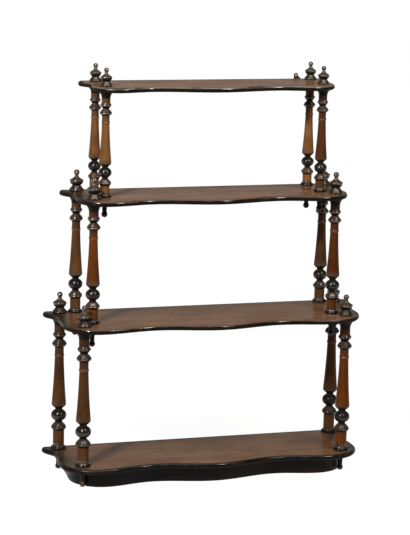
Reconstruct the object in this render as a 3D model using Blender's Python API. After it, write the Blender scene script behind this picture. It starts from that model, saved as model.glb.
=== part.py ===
"""Hanging shelf of four serpentine boards on turned columns.

Metres, +Z up, front towards -Y. The shelf stands on its apron at z = 0, and the origin is the
bottom centre of its bounding box. Each column clamps two boards: a finial above the upper board
and a drop knob below the lower one push their spigots through the boards into the column's ends.
Tier a is the top one, tier c the bottom one.
"""
import math
from collections import namedtuple

import bmesh
import bpy

# Gap kept between neighbouring pieces
CLEARANCE = 0.0003

# Boards and the clear heights between them
BOARD_THICK = 0.011
A_CLEAR = 0.2125
B_CLEAR = 0.243
C_CLEAR = 0.280

# Column places: the back pair of tier c, then the steps from tier to tier
BACK_INSET = 0.0175
C_BACK_HALF = 0.300
BC_GAP = 0.0026
AB_GAP = 0.0086
A_REACH = 0.0845
B_REACH_STEP = 0.0225
C_REACH_STEP = 0.026
A_TUCK = 0.0015
B_TUCK = 0.011
C_TUCK = 0.021

# Board outline: ears at the back corners, side hollows, front lobes, front hollows and bulge
EAR_PAST = 0.0335
EAR_FLARE = 0.0178
EAR_DEPTH = 0.050
EAR_TIP_R = 0.007
A_SIDE_PAST = 0.027
B_SIDE_PAST = 0.030
C_SIDE_PAST = 0.038
BOTTOM_SPREAD = 0.0035
FRONT_PAST = 0.0366
A_LOBE_R = 0.0495
B_LOBE_R = 0.0575
C_LOBE_R = 0.069
LOBE_RISE = 0.0153
BULGE = 0.021
HOLLOW_X = 0.132

# Turned columns: sizes of tier c, and how much smaller the turning of tiers b and a is
B_TURN = 0.92
A_TURN = 0.82
FOOT_R = 0.0162
FOOT_LIP = 0.0045
FOOT_FLARE = 0.0065
BARREL_R = 0.0118
SKIRT_R = 0.0160
SKIRT_UNDER = 0.0043
SKIRT_BAND = 0.0034
SKIRT_RISE = 0.0090
NECK_R = 0.0079
NECK_LENGTH = 0.0036
BALL_R = 0.0162
BALL_RISE = 0.0132
SHAFT_UNDER = 0.0076
SHAFT_BASE_R = 0.0154
SHAFT_TOP_R = 0.0094
SHAFT_HOLLOW = 0.0008
BEAD_R = 0.0105
BEAD_LENGTH = 0.005
THROAT_R = 0.0096
THROAT_LENGTH = 0.0158
RING_R = 0.0155
RING_UNDER = 0.0040
RING_BAND = 0.0032
SPOOL_R = 0.0075
SPOOL_DROP = 0.0092
SPOOL_RISE = 0.0072
COLLAR_R = 0.0139
COLLAR_BAND = 0.0032
COLLAR_TOP = 0.0036
CAP_BARREL_R = 0.0108
CAP_FLARE = 0.0126
CAP_HOLLOW = 0.0010
CAP_LIP = 0.0030
CAP_R = 0.0160

# Plain lengths of each tier's columns, above the foot and below the capital
A_BARREL = 0.0146
B_BARREL = 0.0197
C_BARREL = 0.0295
A_CAP_BARREL = 0.0093
B_CAP_BARREL = 0.0090
C_CAP_BARREL = 0.0143

# Spigots of finials and knobs, and their sockets in the columns
SPIGOT_R = 0.0045
SPIGOT_IN = 0.016
SOCKET_END = 0.0015

# Finials: sizes of tiers b and c, and how much smaller those of tier a are
A_FINIAL = 0.84
FINIAL_BASE_R = 0.0150
FINIAL_LIP = 0.0042
FINIAL_SLOPE = 0.0078
FINIAL_NECK_R = 0.0083
FINIAL_CUP = 0.0068
FINIAL_CUP_R = 0.0143
FINIAL_BAND = 0.0038
FINIAL_SHOULDER = 0.0066
FINIAL_STEM_R = 0.0043
FINIAL_STEM = 0.0043
FINIAL_BALL_R = 0.0060

# Drop knobs: lengths below the boards, and the turning that they share
A_BACK_KNOB = 0.0385
A_FRONT_KNOB = 0.0300
B_KNOB = 0.0375
C_KNOB = 0.0330
KNOB_TOP_R = 0.0072
KNOB_NECK_R = 0.0046
KNOB_BALL_R = 0.0063
KNOB_GAP = 0.0008

# Apron under the bottom board, and the blocks glued behind it
APRON_HEIGHT = 0.0335
APRON_THICK = 0.009
APRON_FRONT_IN = 0.025
APRON_STRAIGHT = 0.045
APRON_SPLAY = 0.003
BLOCK_WIDTH = 0.024
BLOCK_SIDE = 0.012

# Hanger plates on the back edge of the top board, a step inside the back columns of tier a,
# and their countersunk screws
HANGER_IN = 0.0257
PLATE_THICK = 0.002
PLATE_EYE_R = 0.0045
PLATE_EYE_HOLE_R = 0.0015
PLATE_EYE_HEIGHT = 0.0072
PLATE_FOOT = 0.011
PLATE_FOOT_DROP = 0.009
PLATE_SLOPE_ANGLE = math.radians(15)
SCREW_SPACING = 0.0075
SCREW_R = 0.0011
SCREW_HEAD_R = 0.0021
SCREW_HEAD = 0.0012
SCREW_LENGTH = 0.0115
SCREW_TIP = 0.0020

# Facets: sides of the turned pieces, and steps along the curves
COLUMN_SIDES = 10
FINIAL_SIDES = 8
KNOB_SIDES = 8
HOLE_SIDES = 8
HOLLOW_STEPS = 2
COLUMN_BALL_STEPS = 4
SMALL_BALL_STEPS = 3
EDGE_STEPS = 2
WAVE_STEPS = 4
SIDE_STEPS = 3
CORNER_STEPS = 6
TIP_STEPS = 2
MERGE = 0.000001
SMOOTH_ANGLE = math.radians(35)

Tier = namedtuple("Tier", "clear back_half front_half back_y front_y turn barrel cap_barrel "
                          "finial back_knob front_knob side_past lobe_r")


def make_tiers():
    """Places the columns of each tier: every tier stands clear of the finials beside it."""
    b_back = C_BACK_HALF - (FINIAL_BASE_R + FOOT_R * B_TURN + BC_GAP)
    a_back = b_back - (FINIAL_BASE_R + FOOT_R * A_TURN + AB_GAP)
    back_y = -BACK_INSET
    a_front = back_y - A_REACH
    b_front = a_front - B_REACH_STEP
    c_front = b_front - C_REACH_STEP
    return {
        "a": Tier(A_CLEAR, a_back, a_back - A_TUCK, back_y, a_front, A_TURN, A_BARREL,
                  A_CAP_BARREL, A_FINIAL, A_BACK_KNOB, A_FRONT_KNOB, A_SIDE_PAST, A_LOBE_R),
        "b": Tier(B_CLEAR, b_back, b_back - B_TUCK, back_y, b_front, B_TURN, B_BARREL,
                  B_CAP_BARREL, 1.0, B_KNOB, B_KNOB, B_SIDE_PAST, B_LOBE_R),
        "c": Tier(C_CLEAR, C_BACK_HALF, C_BACK_HALF - C_TUCK, back_y, c_front, 1.0, C_BARREL,
                  C_CAP_BARREL, 1.0, C_KNOB, C_KNOB, C_SIDE_PAST, C_LOBE_R),
    }


TIERS = make_tiers()

# Undersides of the boards, from the floor up
BOTTOM_Z = APRON_HEIGHT + CLEARANCE
LOWER_Z = BOTTOM_Z + BOARD_THICK + C_CLEAR
UPPER_Z = LOWER_Z + BOARD_THICK + B_CLEAR
TOP_Z = UPPER_Z + BOARD_THICK + A_CLEAR

HANGER_X = TIERS["a"].back_half - HANGER_IN
SPIGOT_LENGTH = BOARD_THICK + 2 * CLEARANCE + SPIGOT_IN
SOCKET_DEPTH = SPIGOT_IN + SOCKET_END
KNOB_R = max(KNOB_TOP_R, KNOB_BALL_R)


def column_places(tier):
    """The four column axes of a tier as (side, row, x, y)."""
    return [
        ("left", "back", -tier.back_half, tier.back_y),
        ("left", "front", -tier.front_half, tier.front_y),
        ("right", "back", tier.back_half, tier.back_y),
        ("right", "front", tier.front_half, tier.front_y),
    ]


# Materials

def make_material(name, colour, roughness, metallic=0.0):
    material = bpy.data.materials.new(name)
    material.use_nodes = True
    shader = material.node_tree.nodes["Principled BSDF"]
    shader.inputs["Base Color"].default_value = (*colour, 1.0)
    shader.inputs["Roughness"].default_value = roughness
    shader.inputs["Metallic"].default_value = metallic
    return material


def make_materials():
    return {
        "board_wood": make_material("board_wood", (0.15, 0.085, 0.055), 0.28),
        "column_wood": make_material("column_wood", (0.11, 0.045, 0.02), 0.25),
        "finial_wood": make_material("finial_wood", (0.06, 0.04, 0.028), 0.25),
        "knob_wood": make_material("knob_wood", (0.07, 0.035, 0.02), 0.3),
        "apron_wood": make_material("apron_wood", (0.012, 0.010, 0.010), 0.35),
        "block_wood": make_material("block_wood", (0.30, 0.19, 0.10), 0.7),
        "plate_brass": make_material("plate_brass", (0.25, 0.17, 0.08), 0.4, 1.0),
        "screw_steel": make_material("screw_steel", (0.20, 0.19, 0.18), 0.4, 1.0),
    }


# Meshes and objects

def finish_mesh(bm, name, smooth=True):
    bmesh.ops.remove_doubles(bm, verts=bm.verts, dist=MERGE)
    bmesh.ops.recalc_face_normals(bm, faces=bm.faces)
    mesh = bpy.data.meshes.new(name)
    bm.to_mesh(mesh)
    bm.free()
    if smooth:
        mesh.shade_smooth()
        mesh.set_sharp_from_angle(angle=SMOOTH_ANGLE)
    return mesh


def add_object(name, mesh, root, material=None, location=(0.0, 0.0, 0.0)):
    item = bpy.data.objects.new(name, mesh)
    bpy.context.collection.objects.link(item)
    item.parent = root
    item.location = location
    if material and not mesh.materials:
        mesh.materials.append(material)
    return item


def add_cutter(target, mesh, root):
    """Cuts the closed bodies of mesh out of target."""
    cutter = add_object(target.name + "_cutter", mesh, root, location=target.location)
    cutter.hide_render = True
    cutter.display_type = "WIRE"
    cut = target.modifiers.new("cut", "BOOLEAN")
    cut.operation = "DIFFERENCE"
    cut.solver = "EXACT"
    cut.object = cutter


def spin_profile(bm, profile, sides):
    """Turns a profile of (radius, height) points about Z."""
    verts = [bm.verts.new((radius, 0.0, height)) for radius, height in profile]
    edges = [bm.edges.new(pair) for pair in zip(verts, verts[1:])]
    bmesh.ops.spin(bm, geom=verts + edges, axis=(0, 0, 1), cent=(0, 0, 0),
                   angle=math.tau, steps=sides, use_merge=True)


def turned_mesh(name, profile, sides):
    bm = bmesh.new()
    spin_profile(bm, profile, sides)
    return finish_mesh(bm, name)


def hollow_run(start, end, depth):
    """Points up a profile from start to end, drawn in by depth halfway, without the start."""
    dr, dz = end[0] - start[0], end[1] - start[1]
    length = math.hypot(dr, dz)
    points = []
    for step in range(1, HOLLOW_STEPS + 1):
        t = step / HOLLOW_STEPS
        shift = 4.0 * depth * t * (1.0 - t) / length
        points.append((start[0] + dr * t - dz * shift, start[1] + dz * t + dr * shift))
    return points


def ball(middle, radius, rise, low, high, steps):
    """Points up a ball's outer side between two angles; a rise below its radius flattens it."""
    angles = [low + (high - low) * step / steps for step in range(steps + 1)]
    return [(radius * math.cos(angle), middle + rise * math.sin(angle)) for angle in angles]


def fit_radius(radius, sides):
    """Corner radius of a faceted hole whose flats clear a spigot."""
    return (radius + CLEARANCE) / math.cos(math.pi / sides)


# Turned pieces

def column_profile(tier):
    """Profile from the socket in the foot, up the outside, to the socket in the capital."""
    s = tier.turn
    length = tier.clear - 2 * CLEARANCE
    socket_r = fit_radius(SPIGOT_R, COLUMN_SIDES)
    ball_angle = math.acos(NECK_R / BALL_R)
    half_ball = BALL_RISE * math.sin(ball_angle)

    foot_top = s * (FOOT_LIP + FOOT_FLARE)
    barrel_top = foot_top + tier.barrel
    skirt_low = barrel_top + s * SKIRT_UNDER
    skirt_high = skirt_low + s * SKIRT_BAND
    skirt_top = skirt_high + s * SKIRT_RISE
    ball_middle = skirt_top + s * (NECK_LENGTH + half_ball)
    neck_top = ball_middle + s * (half_ball + NECK_LENGTH)
    shaft_base = neck_top + s * SHAFT_UNDER
    cap_low = length - s * (CAP_LIP + CAP_FLARE)
    collar_top = cap_low - tier.cap_barrel
    collar_high = collar_top - s * COLLAR_TOP
    collar_low = collar_high - s * COLLAR_BAND
    spool = collar_low - s * SPOOL_RISE
    ring_high = spool - s * SPOOL_DROP
    ring_low = ring_high - s * RING_BAND
    throat_top = ring_low - s * RING_UNDER
    bead_top = throat_top - s * THROAT_LENGTH
    shaft_top = bead_top - s * BEAD_LENGTH

    points = [(0.0, SOCKET_DEPTH), (socket_r, SOCKET_DEPTH), (socket_r, 0.0)]
    points += [(s * FOOT_R, 0.0), (s * FOOT_R, s * FOOT_LIP), (s * BARREL_R, foot_top)]
    points += [(s * BARREL_R, barrel_top), (s * SKIRT_R, skirt_low), (s * SKIRT_R, skirt_high)]
    points += [(s * NECK_R, skirt_top)]
    points += ball(ball_middle, s * BALL_R, s * BALL_RISE, -ball_angle, ball_angle, COLUMN_BALL_STEPS)
    points += [(s * NECK_R, neck_top), (s * SHAFT_BASE_R, shaft_base)]
    points += hollow_run(points[-1], (s * SHAFT_TOP_R, shaft_top), s * SHAFT_HOLLOW)
    points += [(s * BEAD_R, (shaft_top + bead_top) / 2), (s * THROAT_R, bead_top)]
    points += [(s * THROAT_R, throat_top), (s * RING_R, ring_low), (s * RING_R, ring_high)]
    points += [(s * SPOOL_R, spool), (s * COLLAR_R, collar_low), (s * COLLAR_R, collar_high)]
    points += [(s * CAP_BARREL_R, collar_top), (s * CAP_BARREL_R, cap_low)]
    points += hollow_run(points[-1], (s * CAP_R, length - s * CAP_LIP), s * CAP_HOLLOW)
    points += [(s * CAP_R, length), (socket_r, length)]
    points += [(socket_r, length - SOCKET_DEPTH), (0.0, length - SOCKET_DEPTH)]
    return points


def finial_profile(scale):
    """Profile from the spigot's end, up over base, cup and stem, to the top of the ball."""
    base_top = scale * FINIAL_LIP
    neck = base_top + scale * FINIAL_SLOPE
    cup_low = neck + scale * FINIAL_CUP
    cup_high = cup_low + scale * FINIAL_BAND
    stem_low = cup_high + scale * FINIAL_SHOULDER
    stem_high = stem_low + scale * FINIAL_STEM
    radius = scale * FINIAL_BALL_R
    ball_low = -math.acos(FINIAL_STEM_R / FINIAL_BALL_R)
    middle = stem_high - radius * math.sin(ball_low)
    points = [(0.0, -SPIGOT_LENGTH), (SPIGOT_R, -SPIGOT_LENGTH), (SPIGOT_R, 0.0)]
    points += [(scale * FINIAL_BASE_R, 0.0), (scale * FINIAL_BASE_R, base_top)]
    points += [(scale * FINIAL_NECK_R, neck)]
    points += [(scale * FINIAL_CUP_R, cup_low), (scale * FINIAL_CUP_R, cup_high)]
    points += [(scale * FINIAL_STEM_R, stem_low)]
    points += ball(middle, radius, radius, ball_low, math.pi / 2, SMALL_BALL_STEPS)[:-1]
    points += [(0.0, middle + radius)]
    return points


def knob_profile(length):
    """Profile from the bottom of the ball, up the tapered neck, to the spigot's end."""
    middle = KNOB_BALL_R - length
    neck_angle = math.acos(KNOB_NECK_R / KNOB_BALL_R)
    points = [(0.0, -length)]
    points += ball(middle, KNOB_BALL_R, KNOB_BALL_R, -math.pi / 2, neck_angle, SMALL_BALL_STEPS)[1:]
    points += [(KNOB_TOP_R, 0.0), (SPIGOT_R, 0.0)]
    points += [(SPIGOT_R, SPIGOT_LENGTH), (0.0, SPIGOT_LENGTH)]
    return points


def add_turned_pieces(name, tier, lower_z, root, materials):
    """The columns of a tier, standing on the board at lower_z, with finials and knobs."""
    foot_z = lower_z + BOARD_THICK + CLEARANCE
    finial_z = lower_z + tier.clear + 2 * BOARD_THICK + CLEARANCE
    knob_z = lower_z - CLEARANCE
    column = turned_mesh("column_" + name, column_profile(tier), COLUMN_SIDES)
    finial = turned_mesh("finial_" + name, finial_profile(tier.finial), FINIAL_SIDES)
    knobs = {}
    for row, length in (("back", tier.back_knob), ("front", tier.front_knob)):
        knobs[row] = turned_mesh(f"drop_knob_{name}_{row}", knob_profile(length), KNOB_SIDES)
    for side, row, x, y in column_places(tier):
        ending = f"_{name}_{side}_{row}"
        add_object("column" + ending, column, root, materials["column_wood"], (x, y, foot_z))
        add_object("finial" + ending, finial, root, materials["finial_wood"], (x, y, finial_z))
        add_object("drop_knob" + ending, knobs[row], root, materials["knob_wood"], (x, y, knob_z))


# Outlines: lists of (x, y, normal x, normal y), clockwise seen from above

def arc(x, y, radius, start, end, steps):
    points = []
    for step in range(steps + 1):
        angle = start + (end - start) * step / steps
        nx, ny = math.cos(angle), math.sin(angle)
        points.append((x + radius * nx, y + radius * ny, nx, ny))
    return points


def ease(start, end, sideways, steps):
    """Half a cosine wave from start to end, level at both ends along x, or along y if sideways."""
    dx, dy = end[0] - start[0], end[1] - start[1]
    points = []
    for step in range(steps + 1):
        t = step / steps
        rise = (1.0 - math.cos(math.pi * t)) / 2.0
        slope = math.pi / 2.0 * math.sin(math.pi * t)
        if sideways:
            x, y, tx, ty = start[0] + dx * rise, start[1] + dy * t, dx * slope, dy
        else:
            x, y, tx, ty = start[0] + dx * t, start[1] + dy * rise, dx, dy * slope
        length = math.hypot(tx, ty)
        points.append((x, y, -ty / length, tx / length))
    return points


def front_wave(lobe_x, lobe_y):
    """Serpentine front from the lobe's crest to the middle of the bulge, at x = 0."""
    hollow = (HOLLOW_X, lobe_y + LOBE_RISE)
    crest = (0.0, hollow[1] - BULGE)
    lobe = ease((lobe_x, lobe_y), hollow, False, WAVE_STEPS)
    return lobe + ease(hollow, crest, False, WAVE_STEPS)[1:]


def mirrored(half):
    """Adds the left half to the right half of a path that ends on the centre line."""
    left = [(-x, y, -nx, ny) for x, y, nx, ny in reversed(half[:-1])]
    return half + left


def lobe_front_y(tier):
    return tier.front_y - FRONT_PAST


def board_outline(tier, spread):
    """Right half from the back corner round the ear, the side and the front, then mirrored.

    The front lobes reach out by spread more than the tier's own.
    """
    ear_x = tier.back_half + EAR_PAST
    hollow = (ear_x - EAR_FLARE, -EAR_DEPTH)
    lobe_x = tier.front_half + tier.side_past + spread
    lobe_y = lobe_front_y(tier)
    centre = (lobe_x - tier.lobe_r, lobe_y + tier.lobe_r)
    half = arc(ear_x - EAR_TIP_R, -EAR_TIP_R, EAR_TIP_R, math.pi / 2, 0.0, TIP_STEPS)
    # With no normal the back corner isn't drawn in, so the back edge stays upright
    half[0] = (half[0][0], half[0][1], 0.0, 0.0)
    half += ease((ear_x, -EAR_TIP_R), hollow, True, WAVE_STEPS)[1:]
    half += ease(hollow, (lobe_x, centre[1]), True, SIDE_STEPS)[1:]
    half += arc(*centre, tier.lobe_r, 0.0, -math.pi / 2, CORNER_STEPS)[1:]
    half += front_wave(centre[0], lobe_y)[1:]
    return mirrored(half)


# Boards

def board_mesh(name, outline):
    """A board with a half-round edge; the back edge stays flat."""
    bm = bmesh.new()
    half = BOARD_THICK / 2
    rings = []
    for step in range(2 * EDGE_STEPS + 1):
        angle = math.pi * (step / (2 * EDGE_STEPS) - 0.5)
        inset, z = half * (1.0 - math.cos(angle)), half * (1.0 + math.sin(angle))
        rings.append([bm.verts.new((x - inset * nx, y - inset * ny, z)) for x, y, nx, ny in outline])
    for low, high in zip(rings, rings[1:]):
        for i in range(len(outline)):
            bm.faces.new((low[i - 1], low[i], high[i], high[i - 1]))
    bm.faces.new(rings[0])
    bm.faces.new(rings[-1])
    return finish_mesh(bm, name)


def drill_bodies(places):
    """Upright prisms through a board, one where each spigot passes."""
    bm = bmesh.new()
    radius = fit_radius(SPIGOT_R, HOLE_SIDES)
    for x, y in places:
        drilled = bmesh.ops.create_cone(bm, cap_ends=True, segments=HOLE_SIDES, radius1=radius,
                                        radius2=radius, depth=2 * BOARD_THICK)
        bmesh.ops.translate(bm, verts=drilled["verts"], vec=(x, y, BOARD_THICK / 2))
    return bm


def add_board(name, tier, z, drilled_tiers, root, materials, spread=0.0):
    mesh = board_mesh(name, board_outline(tier, spread))
    board = add_object(name, mesh, root, materials["board_wood"], (0.0, 0.0, z))
    places = [(x, y) for drilled in drilled_tiers for _, _, x, y in column_places(drilled)]
    drills = drill_bodies(places)
    if name == "top_board":
        for x in screw_places().values():
            spin_screw(drills, x, BOARD_THICK / 2, CLEARANCE)
    add_cutter(board, finish_mesh(drills, name + "_drills", smooth=False), root)


# Apron

def apron_half():
    """Right half of the apron's outer face: side, corner and serpentine front.

    The side runs just inside the back knob and then splays out to the corner. The corner's radius
    is the one that clears the front knob: its arc touches the lines of side and front and stays a
    gap away from the knob.
    """
    tier = TIERS["c"]
    keep_out = KNOB_R + KNOB_GAP
    side_x = tier.back_half - keep_out
    corner_x = side_x + APRON_SPLAY
    front_y = lobe_front_y(tier) + APRON_FRONT_IN
    p = corner_x - tier.front_half
    q = tier.front_y - front_y
    total = p + q + keep_out
    radius = total + math.sqrt(total ** 2 - (p * p + q * q - keep_out ** 2))
    centre = (corner_x - radius, front_y + radius)
    mitre = -math.pi / 4
    gap = CLEARANCE / 2 / (radius - APRON_THICK)
    side = [(side_x, 0.0, 1.0, 0.0)]
    side += ease((side_x, -APRON_STRAIGHT), (corner_x, centre[1]), True, SIDE_STEPS)
    side += arc(*centre, radius, 0.0, mitre + gap, CORNER_STEPS // 2)[1:]
    front = arc(*centre, radius, mitre - gap, -math.pi / 2, CORNER_STEPS // 2)
    front += front_wave(centre[0], front_y)[1:]
    return side, front


def rail_mesh(name, path):
    """An upright rail of the apron's thickness and height along a path of its outer face."""
    bm = bmesh.new()
    outer = [(x, y) for x, y, _, _ in path]
    inner = [(x - APRON_THICK * nx, y - APRON_THICK * ny) for x, y, nx, ny in path]
    verts = [bm.verts.new((x, y, 0.0)) for x, y in outer + inner[::-1]]
    made = bmesh.ops.extrude_face_region(bm, geom=[bm.faces.new(verts)])
    raised = [item for item in made["geom"] if isinstance(item, bmesh.types.BMVert)]
    bmesh.ops.translate(bm, verts=raised, vec=(0.0, 0.0, APRON_HEIGHT))
    return finish_mesh(bm, name)


def block_mesh(name, low, high):
    bm = bmesh.new()
    bmesh.ops.create_cube(bm, size=1.0)
    size = [b - a for a, b in zip(low, high)]
    middle = [(a + b) / 2 for a, b in zip(low, high)]
    bmesh.ops.scale(bm, verts=bm.verts, vec=size)
    bmesh.ops.translate(bm, verts=bm.verts, vec=middle)
    return finish_mesh(bm, name, smooth=False)


def block_boxes(side, front):
    """Blocks in the angle between board and apron: behind bulge, hollows and both returns."""
    low_z, high_z = APRON_HEIGHT - BLOCK_SIDE, APRON_HEIGHT
    half = BLOCK_WIDTH / 2
    face = mirrored(front)
    boxes = {}
    for name, x in (("left", -HOLLOW_X), ("middle", 0.0), ("right", HOLLOW_X)):
        y = max(edge_y(face, x + shift) for shift in (-half, 0.0, half))
        y += APRON_THICK + CLEARANCE
        boxes[name] = ((x - half, y, low_z), (x + half, y + BLOCK_SIDE, high_z))
    inner_x = side[0][0] - APRON_THICK - CLEARANCE
    middle_y = -APRON_STRAIGHT / 2
    for name, mirror in (("return_left", -1), ("return_right", 1)):
        ends = sorted((mirror * inner_x, mirror * (inner_x - BLOCK_SIDE)))
        boxes[name] = ((ends[0], middle_y - half, low_z), (ends[1], middle_y + half, high_z))
    return boxes


def edge_y(path, x):
    """Height in y of a path that runs along x, at the given x."""
    for (x0, y0, _, _), (x1, y1, _, _) in zip(path, path[1:]):
        if min(x0, x1) <= x <= max(x0, x1):
            return y0 + (y1 - y0) * (x - x0) / (x1 - x0)
    raise ValueError("no such place on the path")


def add_apron(root, materials):
    side, front = apron_half()
    wood = materials["apron_wood"]
    left_side = [(-x, y, -nx, ny) for x, y, nx, ny in side]
    add_object("apron_front", rail_mesh("apron_front", mirrored(front)), root, wood)
    add_object("apron_return_right", rail_mesh("apron_return_right", side), root, wood)
    add_object("apron_return_left", rail_mesh("apron_return_left", left_side), root, wood)
    for place, box in block_boxes(side, front).items():
        name = "glue_block_" + place
        add_object(name, block_mesh(name, *box), root, materials["block_wood"])


# Hanger plates and screws

def screw_places():
    """The screws of both plates: name ending to place along x."""
    places = {}
    for side, mirror in (("left", -1), ("right", 1)):
        places[side + "_inner"] = mirror * HANGER_X
        places[side + "_outer"] = mirror * (HANGER_X + SCREW_SPACING)
    return places


def spin_screw(bm, x, z, grow):
    """A countersunk screw whose flush head lies in the plate's back face, pointing to the front."""
    profile = [(0.0, grow), (SCREW_HEAD_R + grow, grow), (SCREW_R + grow, -SCREW_HEAD),
               (SCREW_R + grow, SCREW_TIP - SCREW_LENGTH), (0.0, -SCREW_LENGTH - grow)]
    before = set(bm.verts)
    spin_profile(bm, profile, HOLE_SIDES)
    verts = [vert for vert in bm.verts if vert not in before]
    for vert in verts:
        vx, vy, vz = vert.co
        vert.co = (x + vx, CLEARANCE + PLATE_THICK + vz, z - vy)


def plate_outline(mirror):
    """Eye at the inner end, foot on the board's edge, and a slope from the eye to the foot's end."""
    eye = arc(0.0, PLATE_EYE_HEIGHT, PLATE_EYE_R, math.pi, -PLATE_SLOPE_ANGLE, CORNER_STEPS)
    points = [(x, z) for x, z, _, _ in eye]
    points += [(PLATE_FOOT, 0.0), (PLATE_FOOT, -PLATE_FOOT_DROP), (-PLATE_EYE_R, -PLATE_FOOT_DROP)]
    return [(mirror * x, z) for x, z in points]


def plate_mesh(name, mirror):
    bm = bmesh.new()
    verts = [bm.verts.new((x, CLEARANCE, z)) for x, z in plate_outline(mirror)]
    made = bmesh.ops.extrude_face_region(bm, geom=[bm.faces.new(verts)])
    moved = [item for item in made["geom"] if isinstance(item, bmesh.types.BMVert)]
    bmesh.ops.translate(bm, verts=moved, vec=(0.0, PLATE_THICK, 0.0))
    return finish_mesh(bm, name, smooth=False)


def plate_holes(name, mirror):
    """The eye's hole and the countersunk screw holes of a plate."""
    bm = bmesh.new()
    eye = [(0.0, PLATE_THICK), (PLATE_EYE_HOLE_R, PLATE_THICK),
           (PLATE_EYE_HOLE_R, -2 * PLATE_THICK), (0.0, -2 * PLATE_THICK)]
    spin_profile(bm, eye, HOLE_SIDES)
    for vert in bm.verts:
        vx, vy, vz = vert.co
        vert.co = (vx, CLEARANCE + PLATE_THICK + vz, PLATE_EYE_HEIGHT - vy)
    for x in (0.0, SCREW_SPACING):
        spin_screw(bm, mirror * x, -BOARD_THICK / 2, CLEARANCE)
    return finish_mesh(bm, name + "_holes", smooth=False)


def add_hangers(root, materials):
    board_top = TOP_Z + BOARD_THICK
    for side, mirror in (("left", -1), ("right", 1)):
        name = "hanger_plate_" + side
        place = (mirror * HANGER_X, 0.0, board_top)
        plate = add_object(name, plate_mesh(name, mirror), root, materials["plate_brass"], place)
        add_cutter(plate, plate_holes(name, mirror), root)
    screw = bmesh.new()
    spin_screw(screw, 0.0, 0.0, 0.0)
    mesh = finish_mesh(screw, "hanger_screw")
    for ending, x in screw_places().items():
        place = (x, 0.0, board_top - BOARD_THICK / 2)
        add_object("hanger_screw_" + ending, mesh, root, materials["screw_steel"], place)


def make_root():
    """An empty at the boards' back edge that centres the whole shelf on the origin."""
    front_y = lobe_front_y(TIERS["c"]) + LOBE_RISE - BULGE
    back_y = CLEARANCE + PLATE_THICK
    root = bpy.data.objects.new("wall_shelf", None)
    bpy.context.collection.objects.link(root)
    root.location = (0.0, -(front_y + back_y) / 2, 0.0)
    return root


def main():
    for item in list(bpy.data.objects):
        bpy.data.objects.remove(item)
    materials = make_materials()
    root = make_root()
    a, b, c = TIERS["a"], TIERS["b"], TIERS["c"]
    add_board("top_board", a, TOP_Z, [a], root, materials)
    add_board("upper_board", b, UPPER_Z, [a, b], root, materials)
    add_board("lower_board", c, LOWER_Z, [b, c], root, materials)
    add_board("bottom_board", c, BOTTOM_Z, [c], root, materials, BOTTOM_SPREAD)
    add_turned_pieces("a", a, UPPER_Z, root, materials)
    add_turned_pieces("b", b, LOWER_Z, root, materials)
    add_turned_pieces("c", c, BOTTOM_Z, root, materials)
    add_apron(root, materials)
    add_hangers(root, materials)


main()
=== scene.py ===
"""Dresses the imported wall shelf: four serpentine boards on turned columns, hung by two plates.

Metres, +Z up, front towards -Y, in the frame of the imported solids. Tier a is the top one, tier c
the bottom one. Each operator makes one kind of piece and rides it on the shelf's only body.
"""
import math
from collections import namedtuple

import bmesh
import bpy
from bpy.props import FloatProperty, FloatVectorProperty, IntProperty, PointerProperty
from mathutils import Matrix, Vector


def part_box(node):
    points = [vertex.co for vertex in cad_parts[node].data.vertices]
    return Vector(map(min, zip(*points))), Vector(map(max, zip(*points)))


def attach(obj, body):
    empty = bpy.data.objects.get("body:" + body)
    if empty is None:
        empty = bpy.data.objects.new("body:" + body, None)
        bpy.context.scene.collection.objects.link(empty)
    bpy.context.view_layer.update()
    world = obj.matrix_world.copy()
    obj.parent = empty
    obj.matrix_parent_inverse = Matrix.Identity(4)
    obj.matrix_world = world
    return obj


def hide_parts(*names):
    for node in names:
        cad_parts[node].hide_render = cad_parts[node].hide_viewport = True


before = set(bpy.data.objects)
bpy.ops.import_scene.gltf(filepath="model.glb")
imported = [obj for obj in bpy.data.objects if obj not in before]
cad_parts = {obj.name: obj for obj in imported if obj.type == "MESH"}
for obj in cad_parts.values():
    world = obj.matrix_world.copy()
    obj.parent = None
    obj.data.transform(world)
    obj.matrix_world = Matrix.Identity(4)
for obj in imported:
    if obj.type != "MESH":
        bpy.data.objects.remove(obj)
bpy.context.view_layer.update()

bl_info = {
    "name": "Wall shelf with turned columns",
    "version": (1, 0, 0),
    "blender": (4, 5, 0),
    "location": "3D View > Sidebar > Shelf",
    "description": "Makes the pieces of a serpentine wall shelf, finishes and lights them",
    "category": "Object",
}

BODY = "root"
MERGE = 0.000001
SMOOTH_ANGLE = math.radians(35)

# Board outline, as the solids have it
EAR_PAST = 0.0335
EAR_FLARE = 0.0178
EAR_DEPTH = 0.050
EAR_TIP_R = 0.007
FRONT_PAST = 0.0366
LOBE_RISE = 0.0153
BULGE = 0.021
HOLLOW_X = 0.132
BOTTOM_SPREAD = 0.0035
BACK_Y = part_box("top_board")[1].y

# Where the boards' dark places begin and are full, grime from the back and stain from the ears' tips,
# and how far the edge of the stain wanders
GRIME_FROM = 0.011
GRIME_BY = GRIME_FROM / 3
EAR_STAIN_FROM = 0.042
EAR_STAIN_BY = 0.006
EAR_UNEVEN = 0.03

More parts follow.
